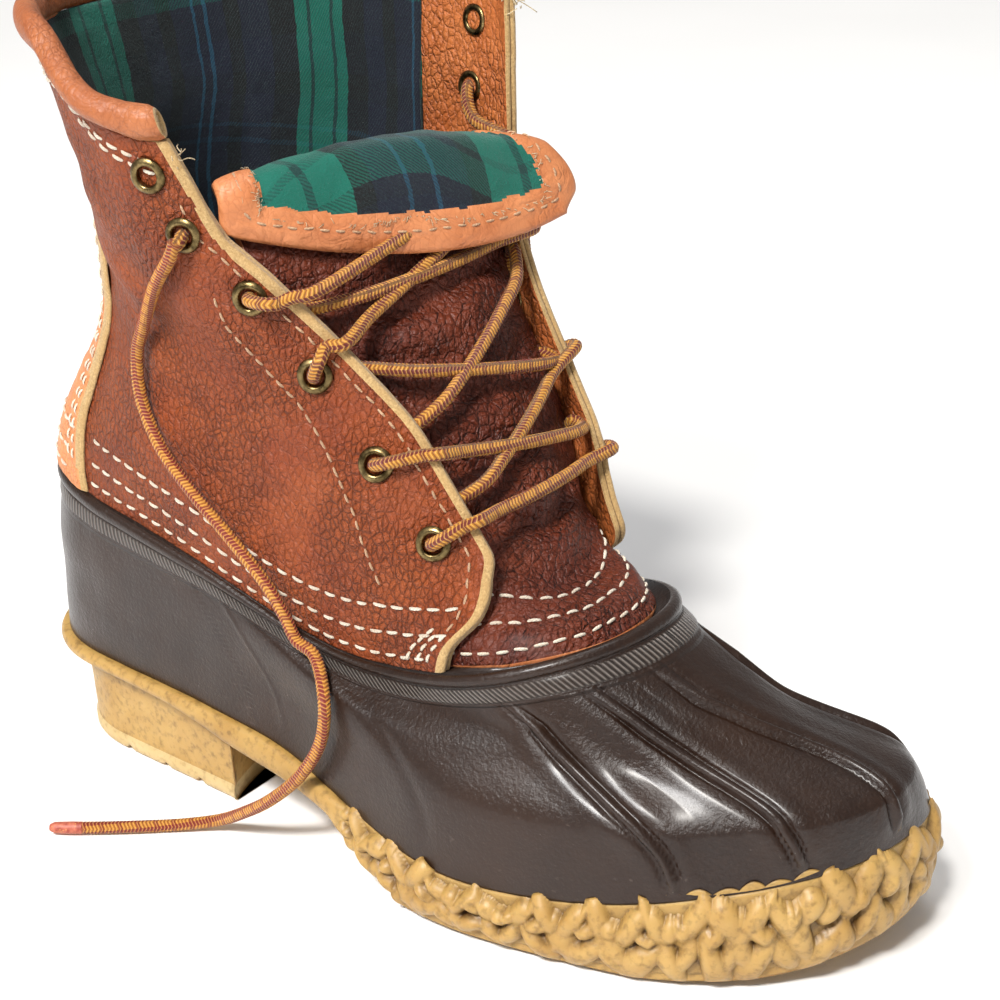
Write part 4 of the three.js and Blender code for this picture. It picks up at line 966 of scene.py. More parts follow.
# a lobe: along the group, height (0 bottom..1 top), half length, half height (of a group), lean
# in degrees, bow of its long axis, proud mm
LOBES = [
    (0.20, 0.68, 0.42, 0.19, 42, 0.35, 4.6),
    (0.68, 0.70, 0.38, 0.18, -40, -0.30, 4.2),
    (0.02, 0.30, 0.36, 0.18, -50, 0.30, 4.0),
    (0.46, 0.26, 0.40, 0.19, 34, 0.40, 4.7),
    (0.84, 0.26, 0.32, 0.17, -46, 0.20, 4.3),
    (0.42, 0.54, 0.22, 0.15, -12, 0.0, 4.9),
    (0.92, 0.60, 0.20, 0.16, 20, 0.0, 4.6),
]
rk = np.random.default_rng(31)
GROUP = 17.0
n_groups = int(round(S[-1] / GROUP))
NSK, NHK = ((1560, 36))
sk = np.linspace(0, S[-1], NSK)
qk = np.linspace(0, 1, NHK)
SK, QK = np.meshgrid(sk * n_groups / S[-1], qk, indexing="ij")
relief = np.full(SK.shape, 0.0)
for g in range(-1, n_groups + 1):
    flip = 1 if g % 3 != 1 else -1
    for a, hz, la, lb, lean, bow_, D in LOBES:
        cx = g + (a if flip > 0 else 1 - a) + rk.normal(0, 0.05)
        cy = hz + rk.normal(0, 0.03)
        ang = math.radians(lean + rk.normal(0, 8)) * flip
        la_, lb_ = la * (1 + rk.normal(0, 0.10)), lb * (1 + rk.normal(0, 0.10))
        D_ = D * (1 + rk.normal(0, 0.08))
        m_ = np.abs(SK - cx) < 0.7
        dx, dy = (SK[m_] - cx), (QK[m_] - cy) * 1.25
        X = dx * math.cos(ang) + dy * math.sin(ang)
        Y = -dx * math.sin(ang) + dy * math.cos(ang)
        X = X + bow_ * flip * (Y / lb_) ** 2 * la_
        r2 = (X / (la_ * 1.12)) ** 2 + (Y / (lb_ * 1.16)) ** 2
        hgt = D_ * np.clip(1 - r2, 0, 1) ** 0.58
        relief[m_] = np.maximum(relief[m_], hgt)
fade_k = np.clip(np.minimum(sk / 9, (S[-1] - sk) / 9), 0, 1)[:, None]
C = np.stack([np.interp(sk, S, E[:, q]) for q in range(3)], 1)
Nn = unit(np.stack([np.interp(sk, S, EN[:, q]) for q in range(3)], 1))
zb = np.where(C[:, 1] > -24, rim_under(C[:, 1]) * 0.8 + 0.6, np.minimum(under(C[:, 1]) * 0.75, 14) - 1.0)
zb = np.maximum(zb, 1.2)
scal = 0.8 + 1.9 * np.abs(np.sin(np.pi * sk / (GROUP * 0.5) + 0.7 * np.sin(sk / 11))) ** 0.8 + 0.5 * np.sin(sk / 2.7)
zt = C[:, 2] + scal * fade_k[:, 0]
round_top = np.sqrt(np.clip(1 - ((qk - 0.52) / 0.50) ** 2, 0, 1))[None, :]
off_k = -0.5 + (0.0 + 0.98 * relief) * (0.10 + 0.90 * round_top ** 0.8) * (0.35 + 0.65 * fade_k)
off_k = off_k + 0.9 * np.clip(1 - QK / 0.5, 0, 1) * 0.0
PK = C[:, None, :] + Nn[:, None, :] * off_k[..., None]
PK[..., 2] = zb[:, None] + (zt - zb)[:, None] * QK
base_in = C[:, None, :] - Nn[:, None, :] * np.array([0.6, 3.0])[None, :, None]
base_in[:, 0, 2] = zt - 1.4
base_in[:, 1, 2] = zb + 0.5
h_.add(np.concatenate([PK, base_in], 1), Q=grid_faces(NSK, NHK + 2, wrap_v=True), mi=0, at=0.5)
sole = done(h_.build("gum_sole", [M_GUM, M_TREAD, M_GUM_PALE]), "outsole", slot="gum_sole")

# ------------------------------------------------------------------ rubber bottom
NR = 840
TR = -1 + 2 * (np.arange(NR) + 0.5) / NR


def flange_offset(t):
    k = np.clip((reach_of(t) - 0.60) / 0.10, 0, 1)
    return -(LEATHER + 2 * GAP) - (TONGUE_LEATHER + TONGUE_SEAT + 2 * GAP) * k * k * (3 - 2 * k)


TOE_RIDGES = [
    # side, points of level and reach round the loop, from the rim down to the sole
    (-1, [(0.985, 0.897), (0.93, 0.871), (0.83, 0.848), (0.73, 0.831), (0.52, 0.822), (0.30, 0.838), (0.14, 0.850), (0.03, 0.853)]),
    (-1, [(0.985, 0.960), (0.93, 0.949), (0.80, 0.940), (0.67, 0.938), (0.46, 0.940), (0.29, 0.942), (0.05, 0.950)]),
]
TOP_RIDGES = [
    # points x, y, z over the top of the toe, from the rim forwards
    [(-11.0, -80.0, 86.0), (-11.0, -95.0, 77.0), (-4.3, -109.0, 70.0), (4.0, -126.0, 62.5), (7.5, -139.0, 58.0), (7.0, -149.0, 53.0), (7.5, -154.0, 42.0)],
    [(13.0, -80.0, 86.0), (21.0, -95.0, 75.5), (28.5, -109.0, 66.0), (34.0, -124.0, 56.0), (36.5, -135.0, 47.0), (37.0, -140.0, 39.0)],
    [(33.0, -64.0, 79.0), (40.0, -80.0, 64.0), (45.0, -92.0, 52.0), (47.5, -101.0, 41.0), (48.5, -106.0, 31.0)],
]
hs_out = np.r_[np.linspace(0.0, 0.90, 74)]
cols = [shell(TR, np.full(NR, h), np.zeros(NR)) for h in hs_out[hs_out < 0.88]]
n_wall = len(cols)
W = np.stack(cols, 1)
WN = np.stack([normal_at(TR, np.full(NR, h)) for h in hs_out[hs_out < 0.88]], 1)


def ridge_shift(P, line, width, height):
    d, w = line_distance(P, line)
    fade = np.clip(w / 0.04, 0, 1) * np.clip((1 - w) / 0.06, 0, 1)
    x = d / width
    core = np.clip(1 - (x / 1.0) ** 2, 0, None) ** 0.6
    groove_ = -0.45 * np.exp(-((x - 1.30) / 0.32) ** 2)
    swell = 0.9 * np.exp(-((x - 3.2) / 1.9) ** 2) - 0.9 * np.exp(-(3.2 / 1.9) ** 2)
    return height * (core + groove_ + swell * 0.35) * fade


flatW, flatN = W.reshape(-1, 3).copy(), WN.reshape(-1, 3)
shift = np.zeros(len(flatW))


def onto_wall(P):
    # bring a line onto the rubber's own surface, so that its ridge never dips under it
    Q = np.array([flatW[np.argmin(((flatW - p) ** 2).sum(1))] for p in P])
    for _ in range(6):
        Q[1:-1] = (Q[:-2] + 2 * Q[1:-1] + Q[2:]) / 4
    return Q


for line in [catmull(np.array([on_last(side, h, f) for h, f in pts]), 2.0) for side, pts in TOE_RIDGES] + [onto_wall(catmull(np.array(p), 2.0)) for p in TOP_RIDGES]:
    near = (np.abs(flatW - line.mean(0)).max(1) < 90)
    shift[near] += ridge_shift(flatW[near], line, 1.6, 2.1)
# side strip of short slanted ribs and a mould seam behind the waist
strip = catmull(np.array([on_last(-1, h, f) for h, f in ((0.93, 0.330), (0.6, 0.335), (0.3, 0.345), (0.08, 0.352))]), 1.0)
near = np.abs(flatW - strip.mean(0)).max(1) < 40
d, w = line_distance(flatW[near], strip)
L_ = arc(strip)[-1]
sl = np.sin(2 * np.pi * (w * L_ + (flatW[near][:, 1] - np.interp(w, np.linspace(0, 1, len(strip)), strip[:, 1])) * 0.5) / 1.9)
shift[near] += 0.22 * np.clip(1.4 - d / 1.6, 0, 1) * sl
for f0, height, width in ((0.385, 0.35, 0.8), (0.60, -0.5, 2.4)):
    line = catmull(np.array([on_last(-1, h, f0 + 0.01 * (1 - h)) for h in (0.9, 0.6, 0.3, 0.08)]), 2.0)
    near = np.abs(flatW - line.mean(0)).max(1) < 45
    d, w = line_distance(flatW[near], line)
    shift[near] += height * np.exp(-(d / width) ** 2) * np.clip(np.minimum(w, 1 - w) / 0.15, 0, 1)
shift += 0.25 * noise3(flatW, 46, 3, 2)
shift *= 1.0
W = (flatW + flatN * shift[:, None]).reshape(W.shape)
fl = flange_offset(TR)
one_ = np.ones(NR)
ring_rows = [W[:, j] for j in range(n_wall)]
uv_u = np.r_[0, np.cumsum(np.linalg.norm(np.diff(shell(TR, 0.93 * one_, 0 * one_), axis=0), axis=1))]
v_rows = [None] * n_wall
rim_pts = surface(TR, one_)
for j in range(n_wall):
    v_rows[j] = np.clip(np.linalg.norm(W[:, j] - rim_pts, axis=1), 0, 19.9)
# a shallow step: the ribbed band stands a little proud of the wall, then the rolled bead
steps = [(-12.2, 0.0), (-11.6, 0.0), (-11.2, 0.45), (-10.6, 0.55), (-8.4, 0.6), (-6.4, 0.5), (-BEAD_HEIGHT - 0.6, 0.25)]
bead = [(-BEAD_HEIGHT + 2.5 + 2.5 * math.cos(a), BEAD_PROUD * math.sin(a)) for a in np.linspace(math.pi * 0.97, 0.06, 12)]
for d_, off in steps + [(-a_ if False else a_ - 0.0, o_) for a_, o_ in bead]:
    hh = near_rim(TR, min(d_, -0.05))
    off_ = np.full(NR, off)
    if d_ < -BEAD_HEIGHT:
        off_ = off_ + 0.25 * noise3(shell(TR, hh, 0 * one_), 46, 3, 2)
    ring_rows.append(shell(TR, hh, off_))
    v_rows.append(np.full(NR, -d_))
order_keep = []
for j, row in enumerate(ring_rows[:n_wall]):
    order_keep.append(j)
# drop wall rows that reach up into the band
top_wall = np.array([v_rows[j].min() for j in range(n_wall)])
keep = [j for j in range(n_wall) if top_wall[j] > 12.6]
ring_rows = [ring_rows[j] for j in keep] + ring_rows[n_wall:]
v_rows = [v_rows[j] for j in keep] + v_rows[n_wall:]
rest = [(1.0, 0.4, None), (1.0, 0.0, "fl"), (FLANGE_HEIGHT, 0.0, "flup"), (FLANGE_HEIGHT, -FLANGE_WALL, "flup"), (0, -FLANGE_WALL, "fl1")]
ring_rows.append(shell(TR, one_, 0.3 * one_)); v_rows.append(np.full(NR, 0.0))
ring_rows.append(shell(TR, one_, fl)); v_rows.append(np.full(NR, 0.0))
ring_rows.append(shell(TR, near_rim(TR, FLANGE_HEIGHT), fl)); v_rows.append(np.full(NR, 0.0))
ring_rows.append(shell(TR, near_rim(TR, FLANGE_HEIGHT), fl - FLANGE_WALL)); v_rows.append(np.full(NR, 19.0))
ring_rows.append(shell(TR, one_, fl - FLANGE_WALL)); v_rows.append(np.full(NR, 19.0))
for h in (0.7, 0.4, 0.15):
    ring_rows.append(shell(TR, h * one_, -RUBBER_WALL * one_)); v_rows.append(np.full(NR, 19.0))
ep, _ = edge_point(TR, -RUBBER_WALL)
ring_rows.append(ep); v_rows.append(np.full(NR, 19.0))
RB = np.stack(ring_rows, 1)
h_ = Heap()
h_.add(RB, Q=grid_faces(NR, RB.shape[1], wrap_u=True, wrap_v=True),
       uv=np.stack([np.repeat(uv_u[:, None], RB.shape[1], 1), np.stack(v_rows, 1)], -1))
rubber_ob = done(h_.build("rubber_shell", [M_RUBBER]), "rubber_bottom", slot="brown_rubber")

# ------------------------------------------------------------------ insole
h_ = Heap()
NI = 240
TI = -1 + 2 * (np.arange(NI) + 0.5) / NI
fb = lambda y: pchip(*FOOTBED, y)
rings = [sole_ring(-5.3, lambda y: fb(y) + GAP, TI), sole_ring(-5.2, lambda y: fb(y) + 2.2, TI), sole_ring(-5.4, lambda y: fb(y) + 3.6, TI),
         sole_ring(-6.4, lambda y: fb(y) + 4.2, TI), sole_ring(-9.0, lambda y: fb(y) + 4.3, TI)]
R = np.stack(rings, 1)
b = h_.add(R, Q=grid_faces(NI, 5, wrap_u=True))
for col in (0, 4):
    idx = b + np.arange(NI) * 5 + col
    k = np.arange(NI // 2 - 1)
    h_.Q.append((np.stack([idx[k], idx[k + 1], idx[NI - 2 - k], idx[NI - 1 - k]], 1), np.zeros(len(k), int)))
insole = done(h_.build("insole_felt", [M_FOOTBED]), "insole", slot="footbed")

# ------------------------------------------------------------------ leather quarters and shaft
UPPER_BASE = 1.006
NU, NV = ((300, 150))


def upper_t(u, h):
    side = u * 2 - 1
    return np.where(side >= 0, side * facing_part(h, True), side * facing_part(h, False))


UPPER_FOLDS = [
    # height, half width, points (side, level, reach): troughs are negative
    (-2.0, 4.6, [(-1, 1.66, 0.15), (-1, 1.60, 0.28), (-1, 1.57, 0.42)]),
    (-1.3, 5.0, [(-1, 1.80, 0.22), (-1, 1.74, 0.38), (-1, 1.73, 0.52)]),
    (1.3, 7.0, [(-1, 1.72, 0.14), (-1, 1.68, 0.30), (-1, 1.66, 0.44)]),
    (-1.0, 4.0, [(-1, 1.46, 0.20), (-1, 1.43, 0.34), (-1, 1.45, 0.46)]),
    (-0.9, 3.0, [(-1, 1.34, 0.24), (-1, 1.30, 0.40), (-1, 1.32, 0.52)]),
    (-0.9, 3.2, [(-1, 1.55, 0.60), (-1, 1.44, 0.66), (-1, 1.36, 0.74)]),
    (-0.7, 2.6, [(-1, 1.26, 0.62), (-1, 1.21, 0.72), (-1, 1.18, 0.82)]),
    (-0.7, 2.4, [(-1, 1.36, 0.90), (-1, 1.27, 0.86), (-1, 1.20, 0.84)]),
    (1.0, 9.0, [(-1, 1.88, 0.36), (-1, 1.84, 0.52), (-1, 1.86, 0.66)]),
    (-0.8, 3.4, [(-1, 1.92, 0.10), (-1, 1.86, 0.24), (-1, 1.87, 0.34)]),
    (-1.8, 5.0, [(1, 1.66, 0.16), (1, 1.60, 0.30), (1, 1.56, 0.46)]),
    (-1.2, 4.4, [(1, 1.48, 0.22), (1, 1.44, 0.36), (1, 1.45, 0.50)]),
    (-1.2, 4.8, [(1, 1.80, 0.24), (1, 1.75, 0.40), (1, 1.73, 0.55)]),
    (-0.9, 3.2, [(1, 1.32, 0.40), (1, 1.27, 0.54), (1, 1.30, 0.66)]),
    (-0.8, 3.0, [(1, 1.60, 0.66), (1, 1.50, 0.70), (1, 1.40, 0.78)]),
]


def upper_grid(nu, nv, off, folded=True):
    u = np.linspace(0, 1, nu)
    levels = np.linspace(UPPER_BASE, COLLAR_TOP, nv)
    U, H = np.meshgrid(u, levels, indexing="ij")
    T = upper_t(U, H)
    off = off(U, H, T) if callable(off) else np.full(T.shape, off)
    P, N = surface(T, H), normal_at(T, H)
    if folded:
        P = hand_folds(P, N, UPPER_FOLDS, lambda p: on_last(p[0], p[1], p[2]))
    P = P + N * (off + 0.32 * noise3(P, 60, 11, 2) + 0.16 * noise3(P, 19, 12, 2))[..., None]
    return P, N, U, H, T


def edge_gap(P):
    # distance along each level from the two facing edges
    seg = np.linalg.norm(np.diff(P, axis=0), axis=2)
    s = np.vstack([np.zeros(P.shape[1]), np.cumsum(seg, 0)])
    return np.minimum(s, s[-1:] - s), s


P0, N0, U0, H0, T0 = upper_grid(NU, NV, 0.0)
gap0, arc0 = edge_gap(P0)
lip = np.exp(-(gap0 / 4.5) ** 2)
LINE_REACH = 38.0
thin = np.clip((gap0 - LINE_REACH + 1.5) / 2.0, 0, 1) * np.clip((COLLAR_TOP - H0) * 999, 0, 1)
outer_ = P0 + N0 * (0.75 * lip)[..., None]
inner_ = P0 - N0 * (LEATHER + 1.15 * lip - 0.85 * thin)[..., None]
h_ = Heap()
uv_ = np.stack([arc0, np.repeat(np.arange(NV)[None, :] * 1.0, NU, 0)], -1)
Fu = grid_faces(NU, NV)
bevel = np.clip(gap0 / 2.6, 0, 1) ** 0.7
outer_ = outer_ - N0 * (0.55 * (1 - bevel))[..., None]
cut_edge = (gap0 + 0.35 * noise3(P0, 9, 14, 2)).reshape(-1)[Fu].mean(1) < 2.7
add_sheet(h_, outer_, inner_, rim=5, bulge=0.28, mi=(cut_edge.astype(int), 2, 1), uv=uv_, groove=0.55, at_outer=0.2)
upper_ob = done(h_.build("leather_quarters", [M_QUARTER, M_EDGE, M_FACING]), "upper", slot="quarter_leather")

# flannel lining inside the shaft; it stops short of the bare leather of the facings
nl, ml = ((200, 110))
Lp, Ln, _, Lh, _ = upper_grid(401, ml, 0.0)
gl, sl_ = edge_gap(Lp)
rows_ = []
for j in range(ml):
    a, b2 = LINE_REACH, sl_[-1, j] - LINE_REACH
    q = np.linspace(a, b2, nl)
    rows_.append(np.stack([np.interp(q, sl_[:, j], (Lp[:, j, c] - Ln[:, j, c] * (LEATHER - 0.80))) for c in range(3)], 1))
Lo = np.stack(rows_, 1)
gu, gv = np.gradient(Lo, axis=0), np.gradient(Lo, axis=1)
LN = unit(np.cross(gu, gv))
flip_ = np.sign((LN * (Lo - Lo.mean((0, 1)))).sum(-1).mean())
LN = LN * flip_
soft = 0.5 * noise3(Lo, 30, 21, 2)
Li = Lo - LN * (1.0 + soft)[..., None].clip(0.5, 2.0)
mid = arc(Lo[:, ml // 2])
uvl = np.stack([np.repeat((mid - mid[-1] / 2)[:, None], ml, 1), np.repeat(arc(Lo[nl // 2])[None, :], nl, 0)], -1)
h_ = Heap()
add_sheet(h_, Li, Lo, rim=2, bulge=0.5, mi=(0, 0, 0), uv=uvl)
lining = done(h_.build("flannel_lining", [M_LINING]))

# ------------------------------------------------------------------ back strap
ns_, ms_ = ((70, 150))
hv = np.linspace(1.012, 1.93, ms_)
US, HS = np.meshgrid(np.linspace(-1, 1, ns_), hv, indexing="ij")
TS = US * part_around(pchip(STRAP[:, 0], STRAP[:, 1], HS))
PS, NS = surface(TS, HS), normal_at(TS, HS)
PS = hand_folds(PS, NS, UPPER_FOLDS, lambda p: on_last(p[0], p[1], p[2]))
STRAP_FOLDS = [
    (-0.9, 1.8, [(-1, 1.44, 0.09), (-1, 1.42, 0.03), (1, 1.43, 0.05)]),
    (-0.8, 1.6, [(-1, 1.36, 0.10), (-1, 1.345, 0.04), (1, 1.35, 0.06)]),
    (-0.7, 1.5, [(-1, 1.28, 0.10), (-1, 1.275, 0.03), (1, 1.28, 0.08)]),
    (-0.9, 2.2, [(-1, 1.52, 0.09), (-1, 1.50, 0.02), (1, 1.52, 0.08)]),
    (-0.6, 1.6, [(-1, 1.20, 0.10), (-1, 1.195, 0.03), (1, 1.20, 0.06)]),
]
PS = hand_folds(PS, NS, STRAP_FOLDS, lambda p: on_last(p[0], p[1], p[2], STRAP_SEAT + STRAP_LEATHER))
PS = PS + NS * (0.30 * noise3(PS, 24, 41, 3))[..., None]
gs, ss_ = edge_gap(PS)
slope_ = np.clip(gs / 3.0, 0, 1) ** 0.6
So = PS + NS * (STRAP_SEAT + 0.35 + (STRAP_LEATHER - 0.35) * slope_)[..., None]
Si = PS + NS * (STRAP_SEAT - 0.35)
Fs = grid_faces(ns_, ms_)
raw = (gs.reshape(-1)[Fs].max(1) < 3.3).astype(int)
h_ = Heap()
add_sheet(h_, So, Si, rim=3, bulge=0.3, mi=(raw, 0, 1), uv=np.stack([ss_, HS * 100], -1))
strap_ob = done(h_.build("back_strap_leather", [M_STRAP, M_EDGE]), "back_strap", slot="strap_leather")

# ------------------------------------------------------------------ rolled collar
NC = 420
sc = np.linspace(-1, 1, NC)
tc = np.where(sc >= 0, sc * float(facing_part(np.array(COLLAR_TOP), True)), sc * float(facing_part(np.array(COLLAR_TOP), False)))
ht = np.full(NC, COLLAR_TOP)
pc, nc = surface(tc, ht), normal_at(tc, np.full(NC, 1.95))
uc = unit(surface(tc, ht) - surface(tc, np.full(NC, 1.9)))
cc = pc + nc * (-LEATHER / 2 + 0.6) + uc * (COLLAR_RADIUS[1] + GAP + 0.4)
KA = 40
aa = np.arange(KA) * 2 * np.pi / KA
wr = 1 + 0.05 * noise3(cc, 34, 51, 3)[:, None] + 0.035 * np.sin(arc(cc)[:, None] / 3.3 + 3 * np.sin(aa)[None, :])
wr[:, :] *= np.interp(np.arange(NC), [0, 3, NC - 4, NC - 1], [0.86, 1.0, 1.0, 0.86])[:, None]
# the roll is closed by a seam low on its outer side
seam_ = 1 - 0.16 * np.exp(-((((aa + 1.05 + np.pi) % (2 * np.pi)) - np.pi) / 0.16) ** 2)[None, :]
RR = cc[:, None, :] + (wr * seam_)[..., None] * (nc[:, None, :] * (COLLAR_RADIUS[0] + 0.3) * np.cos(aa)[None, :, None] + uc[:, None, :] * (COLLAR_RADIUS[1] + 0.6) * np.sin(aa)[None, :, None])
h_ = Heap()
sC = arc(cc)
b = h_.add(RR, Q=grid_faces(NC, KA, wrap_v=True), uv=np.stack(np.meshgrid(sC, np.arange(KA) * 0.6, indexing="ij"), -1))
for e, d in ((0, -1), (NC - 1, 1)):
    # open rolled end: the edge turns in as a spiral
    ctr = cc[e]
    ringe = RR[e]
    rws = [ringe]
    for q, (sc_, ax) in enumerate(((0.80, 0.5), (0.66, 0.1), (0.60, -1.2), (0.50, -1.2), (0.46, 0.0), (0.34, 0.2), (0.26, -1.3), (0.12, -1.3))):
        tan_ = unit(cc[min(e + 2, NC - 1)] - cc[max(e - 2, 0)]) * d
        spiral = sc_ + 0.13 * (aa / (2 * np.pi))
        rws.append(ctr + (ringe - ctr) * spiral[:, None] + tan_ * ax)
    Rw = np.stack(rws, 1)
    fsx = grid_faces(KA, Rw.shape[1], wrap_u=True)
    h_.add(Rw, Q=fsx, mi=1, at=0.2)
    last_ = Rw[:, -1]
    bb = h_.add(np.vstack([last_, last_.mean(0)]), at=0.2)
    h_.T.append((np.stack([bb + np.arange(KA), bb + (np.arange(KA) + 1) % KA, np.full(KA, bb + KA)], 1), np.full(KA, 1)))
collar_ob = done(h_.build("collar_roll_leather", [M_COLLAR, M_EDGE]), "collar_roll", slot="collar_leather")

# ------------------------------------------------------------------ vamp and tongue
NT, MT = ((120, 300))
vv = np.linspace(-1, 1, NT)


def tongue_rows(v):
    out = []
    v = np.asarray(v, float)

    def bow(a, b, c):
        w = v[:, None]
        return b + (c - a) / 2 * w + ((c + a) / 2 - b) * w * w

    for h, lat_, med_, recess in VAMP:
        t = 1 - v * (1 - np.where(v > 0, part_around(lat_), part_around(med_)))
        out.append(shell(t, np.full(len(v), h), -UNDER_FACING - TONGUE_SEAT - recess * (1 - v * v) ** 1.2))
    for h, lat_, med_, y, z in TONGUE:
        o = np.array(-UNDER_FACING - TONGUE_SEAT - 0.5)
        out.append(bow(shell(-part_around(med_), h, o), np.array([0, y, z]), shell(part_around(lat_), h, o)))
    for y, z, lx, ly, lz, mx, my, mz in FOLD:
        out.append(bow(np.array([mx, my, mz]), np.array([0, y, z]), np.array([lx, ly, lz])))
    return np.stack(out, 1)


coarse = tongue_rows(vv)
nrow = coarse.shape[1]
mean_arc = arc(coarse[NT // 2])
target = np.linspace(0, mean_arc[-1], MT)
Pt = np.stack([pchip(mean_arc, np.broadcast_to(coarse[:, None, :, c], (NT, MT, nrow)), np.broadcast_to(target, (NT, MT))) for c in range(3)], -1)
Nt = unit(np.cross(np.gradient(Pt, axis=1), np.gradient(Pt, axis=0)))
first_fold = mean_arc[len(VAMP) + len(TONGUE)]


def tongue_point(v, s):
    # v across (-1 medial .. 1 lateral), s = millimetres up the middle of the tongue
    i, j = np.clip((v + 1) / 2 * (NT - 1), 0, NT - 1), np.clip(s / mean_arc[-1] * (MT - 1), 0, MT - 1)
    return Pt[int(round(i)), int(round(j))]


TONGUE_FOLDS = [
    # height, half width, points (across, millimetres up the middle)
    (-3.2, 2.6, [(-0.75, 47), (-0.2, 43), (0.35, 46), (0.8, 52)]),
    (2.4, 5.5, [(-0.6, 58), (0.0, 55), (0.6, 60)]),
    (-2.4, 2.2, [(-0.7, 66), (-0.15, 68), (0.45, 64), (0.75, 70)]),
    (2.2, 5.0, [(-0.4, 78), (0.2, 76), (0.7, 82)]),
    (-2.2, 2.0, [(0.8, 84), (0.25, 88), (-0.3, 84), (-0.8, 90)]),
    (-1.8, 1.8, [(-0.1, 96), (0.35, 101), (0.8, 98)]),
    (1.8, 5.5, [(-0.6, 104), (0.1, 108), (0.6, 106)]),
    (-2.0, 2.2, [(-0.85, 112), (-0.3, 117), (0.2, 114), (0.6, 120)]),
    (-1.6, 1.8, [(0.1, 128), (0.5, 124), (0.85, 127)]),
    (1.8, 6.0, [(-0.5, 130), (0.1, 134), (0.5, 131)]),
    (-2.0, 2.4, [(-0.8, 141), (-0.2, 144), (0.5, 141), (0.9, 146)]),
    (-1.2, 1.4, [(0.15, 56), (0.35, 62), (0.5, 72)]),
    (-1.2, 1.4, [(-0.35, 72), (-0.15, 82), (-0.2, 94)]),
    (-1.2, 1.6, [(0.45, 104), (0.3, 116), (0.4, 126)]),
    (-0.5, 1.6, [(-0.7, 15), (-0.3, 18), (0.1, 14)]),
    (-0.5, 1.4, [(0.3, 22), (0.6, 19), (0.9, 24)]),
]
along_ = np.broadcast_to(target, (NT, MT))
mid_part = np.clip((along_ - 34) / 12, 0, 1) * np.clip((first_fold + 8 - along_) / 14, 0, 1)
bent = hand_folds(Pt, Nt, TONGUE_FOLDS, lambda p: tongue_point(*p))
Ptf = Pt + (bent - Pt)
Ptf = Ptf + Nt * ((0.25 + 0.75 * mid_part) * (0.7 * noise3(Pt, 26, 61, 3) + 0.25 * noise3(Pt, 9, 62, 2)))[..., None]
seg_v = np.linalg.norm(np.diff(Pt, axis=0), axis=2)
sv = np.vstack([np.zeros(MT), np.cumsum(seg_v, 0)])
seg_u = np.linalg.norm(np.diff(Pt, axis=1), axis=2)
su = np.hstack([np.zeros((NT, 1)), np.cumsum(seg_u, 1)])
side_gap = np.minimum(sv, sv[-1:] - sv)
end_gap = su[:, -1:] - su
free = np.minimum(side_gap, end_gap)
is_flap = along_ > first_fold - 6
rag = 0.5 * noise3(Pt, 7, 71, 2)
BIND = 10.5
pad = np.where(is_flap, 0.75 * np.sqrt(np.clip(1 - ((free - BIND * 0.46) / (BIND * 0.56)) ** 2, 0, 1)), 0)
To = Ptf + Nt * (pad * 0.8)[..., None]
Ti = Ptf - Nt * (TONGUE_LEATHER + pad * 1.3)[..., None]
soft_t = np.where(is_flap, 0.5 * noise3(Pt, 22, 72, 2), 0.2)
Ti = Ti - Nt * (soft_t * (free > BIND))[..., None]
Ft = grid_faces(NT, MT)
fr = (free + rag).reshape(-1)[Ft].mean(1)
fl_ = is_flap.reshape(-1)[Ft].any(1)
inner_mi = np.where((fr < BIND) & fl_, 1, 2)
fl_out = (along_ > first_fold + 26).reshape(-1)[Ft].all(1)
outer_mi = np.where((fr < BIND * 0.9) & fl_out, 1, 0)
uvt = np.stack([sv - sv[-1:] / 2 + 5.0, su], -1)
h_ = Heap()
add_sheet(h_, To, Ti, rim=5, bulge=0.9, mi=(outer_mi, inner_mi, 1), uv=uvt, at_outer=0.2)
# give the inner side the same cloth coordinates
h_.uv[1] = uvt.reshape(-1, 2)
tongue_ob = done(h_.build("vamp_tongue", [M_TONGUE_SHADED, M_SMOOTH, M_PLAID]), "tongue", slot="tongue_leather")

# ------------------------------------------------------------------ eyelets
prof = [(2.75, -1.9), (2.85, -0.6), (2.9, 0.6), (2.95, 1.2), (3.2, 1.55), (3.7, 1.75), (4.2, 1.62), (4.75, 1.30), (5.15, 0.92), (5.3, 0.62), (5.2, 0.35), (4.6, 0.25), (3.3, 0.25), (3.2, -2.3), (4.6, -2.35), (4.7, -2.7), (3.9, -3.05), (3.0, -2.95), (2.7, -2.6)]
ES = 44
ea = np.arange(ES) * 2 * np.pi / ES
h_ = Heap()
EYE = {}
for lateral in (True, False):
    for k, row in enumerate(EYELETS):
        hh, ff = row[:2] if lateral else row[2:]
        t = float(part_around(ff)) * (1 if lateral else -1)
        c, n = surface(t, hh), normal_at(t, hh)
        EYE[(lateral, k + 1)] = (c, n, t, hh)
        a1 = unit(np.cross(n, [0, 0, 1.0])); a2 = np.cross(n, a1)
        tw = RNG.uniform(0, 1)
        R = np.stack([c + r * (np.cos(ea)[:, None] * a1 + np.sin(ea)[:, None] * a2) * (1 + 0.012 * np.sin(3 * ea + 6 * tw))[:, None] + n * z for r, z in prof], 1)
        h_.add(R, Q=grid_faces(ES, len(prof), wrap_u=True, wrap_v=True))
eyelets = done(h_.build("eyelets_brass", [M_BRASS]), *[f"eyelet_{s}_{k}" for s in ("lateral", "medial") for k in range(1, 7)], slot="eyelet_brass")

# ------------------------------------------------------------------ lace through the eyelets


def edge_t(lateral, h):
    return float(facing_part(np.array(h), lateral)) * (1 if lateral else -1)


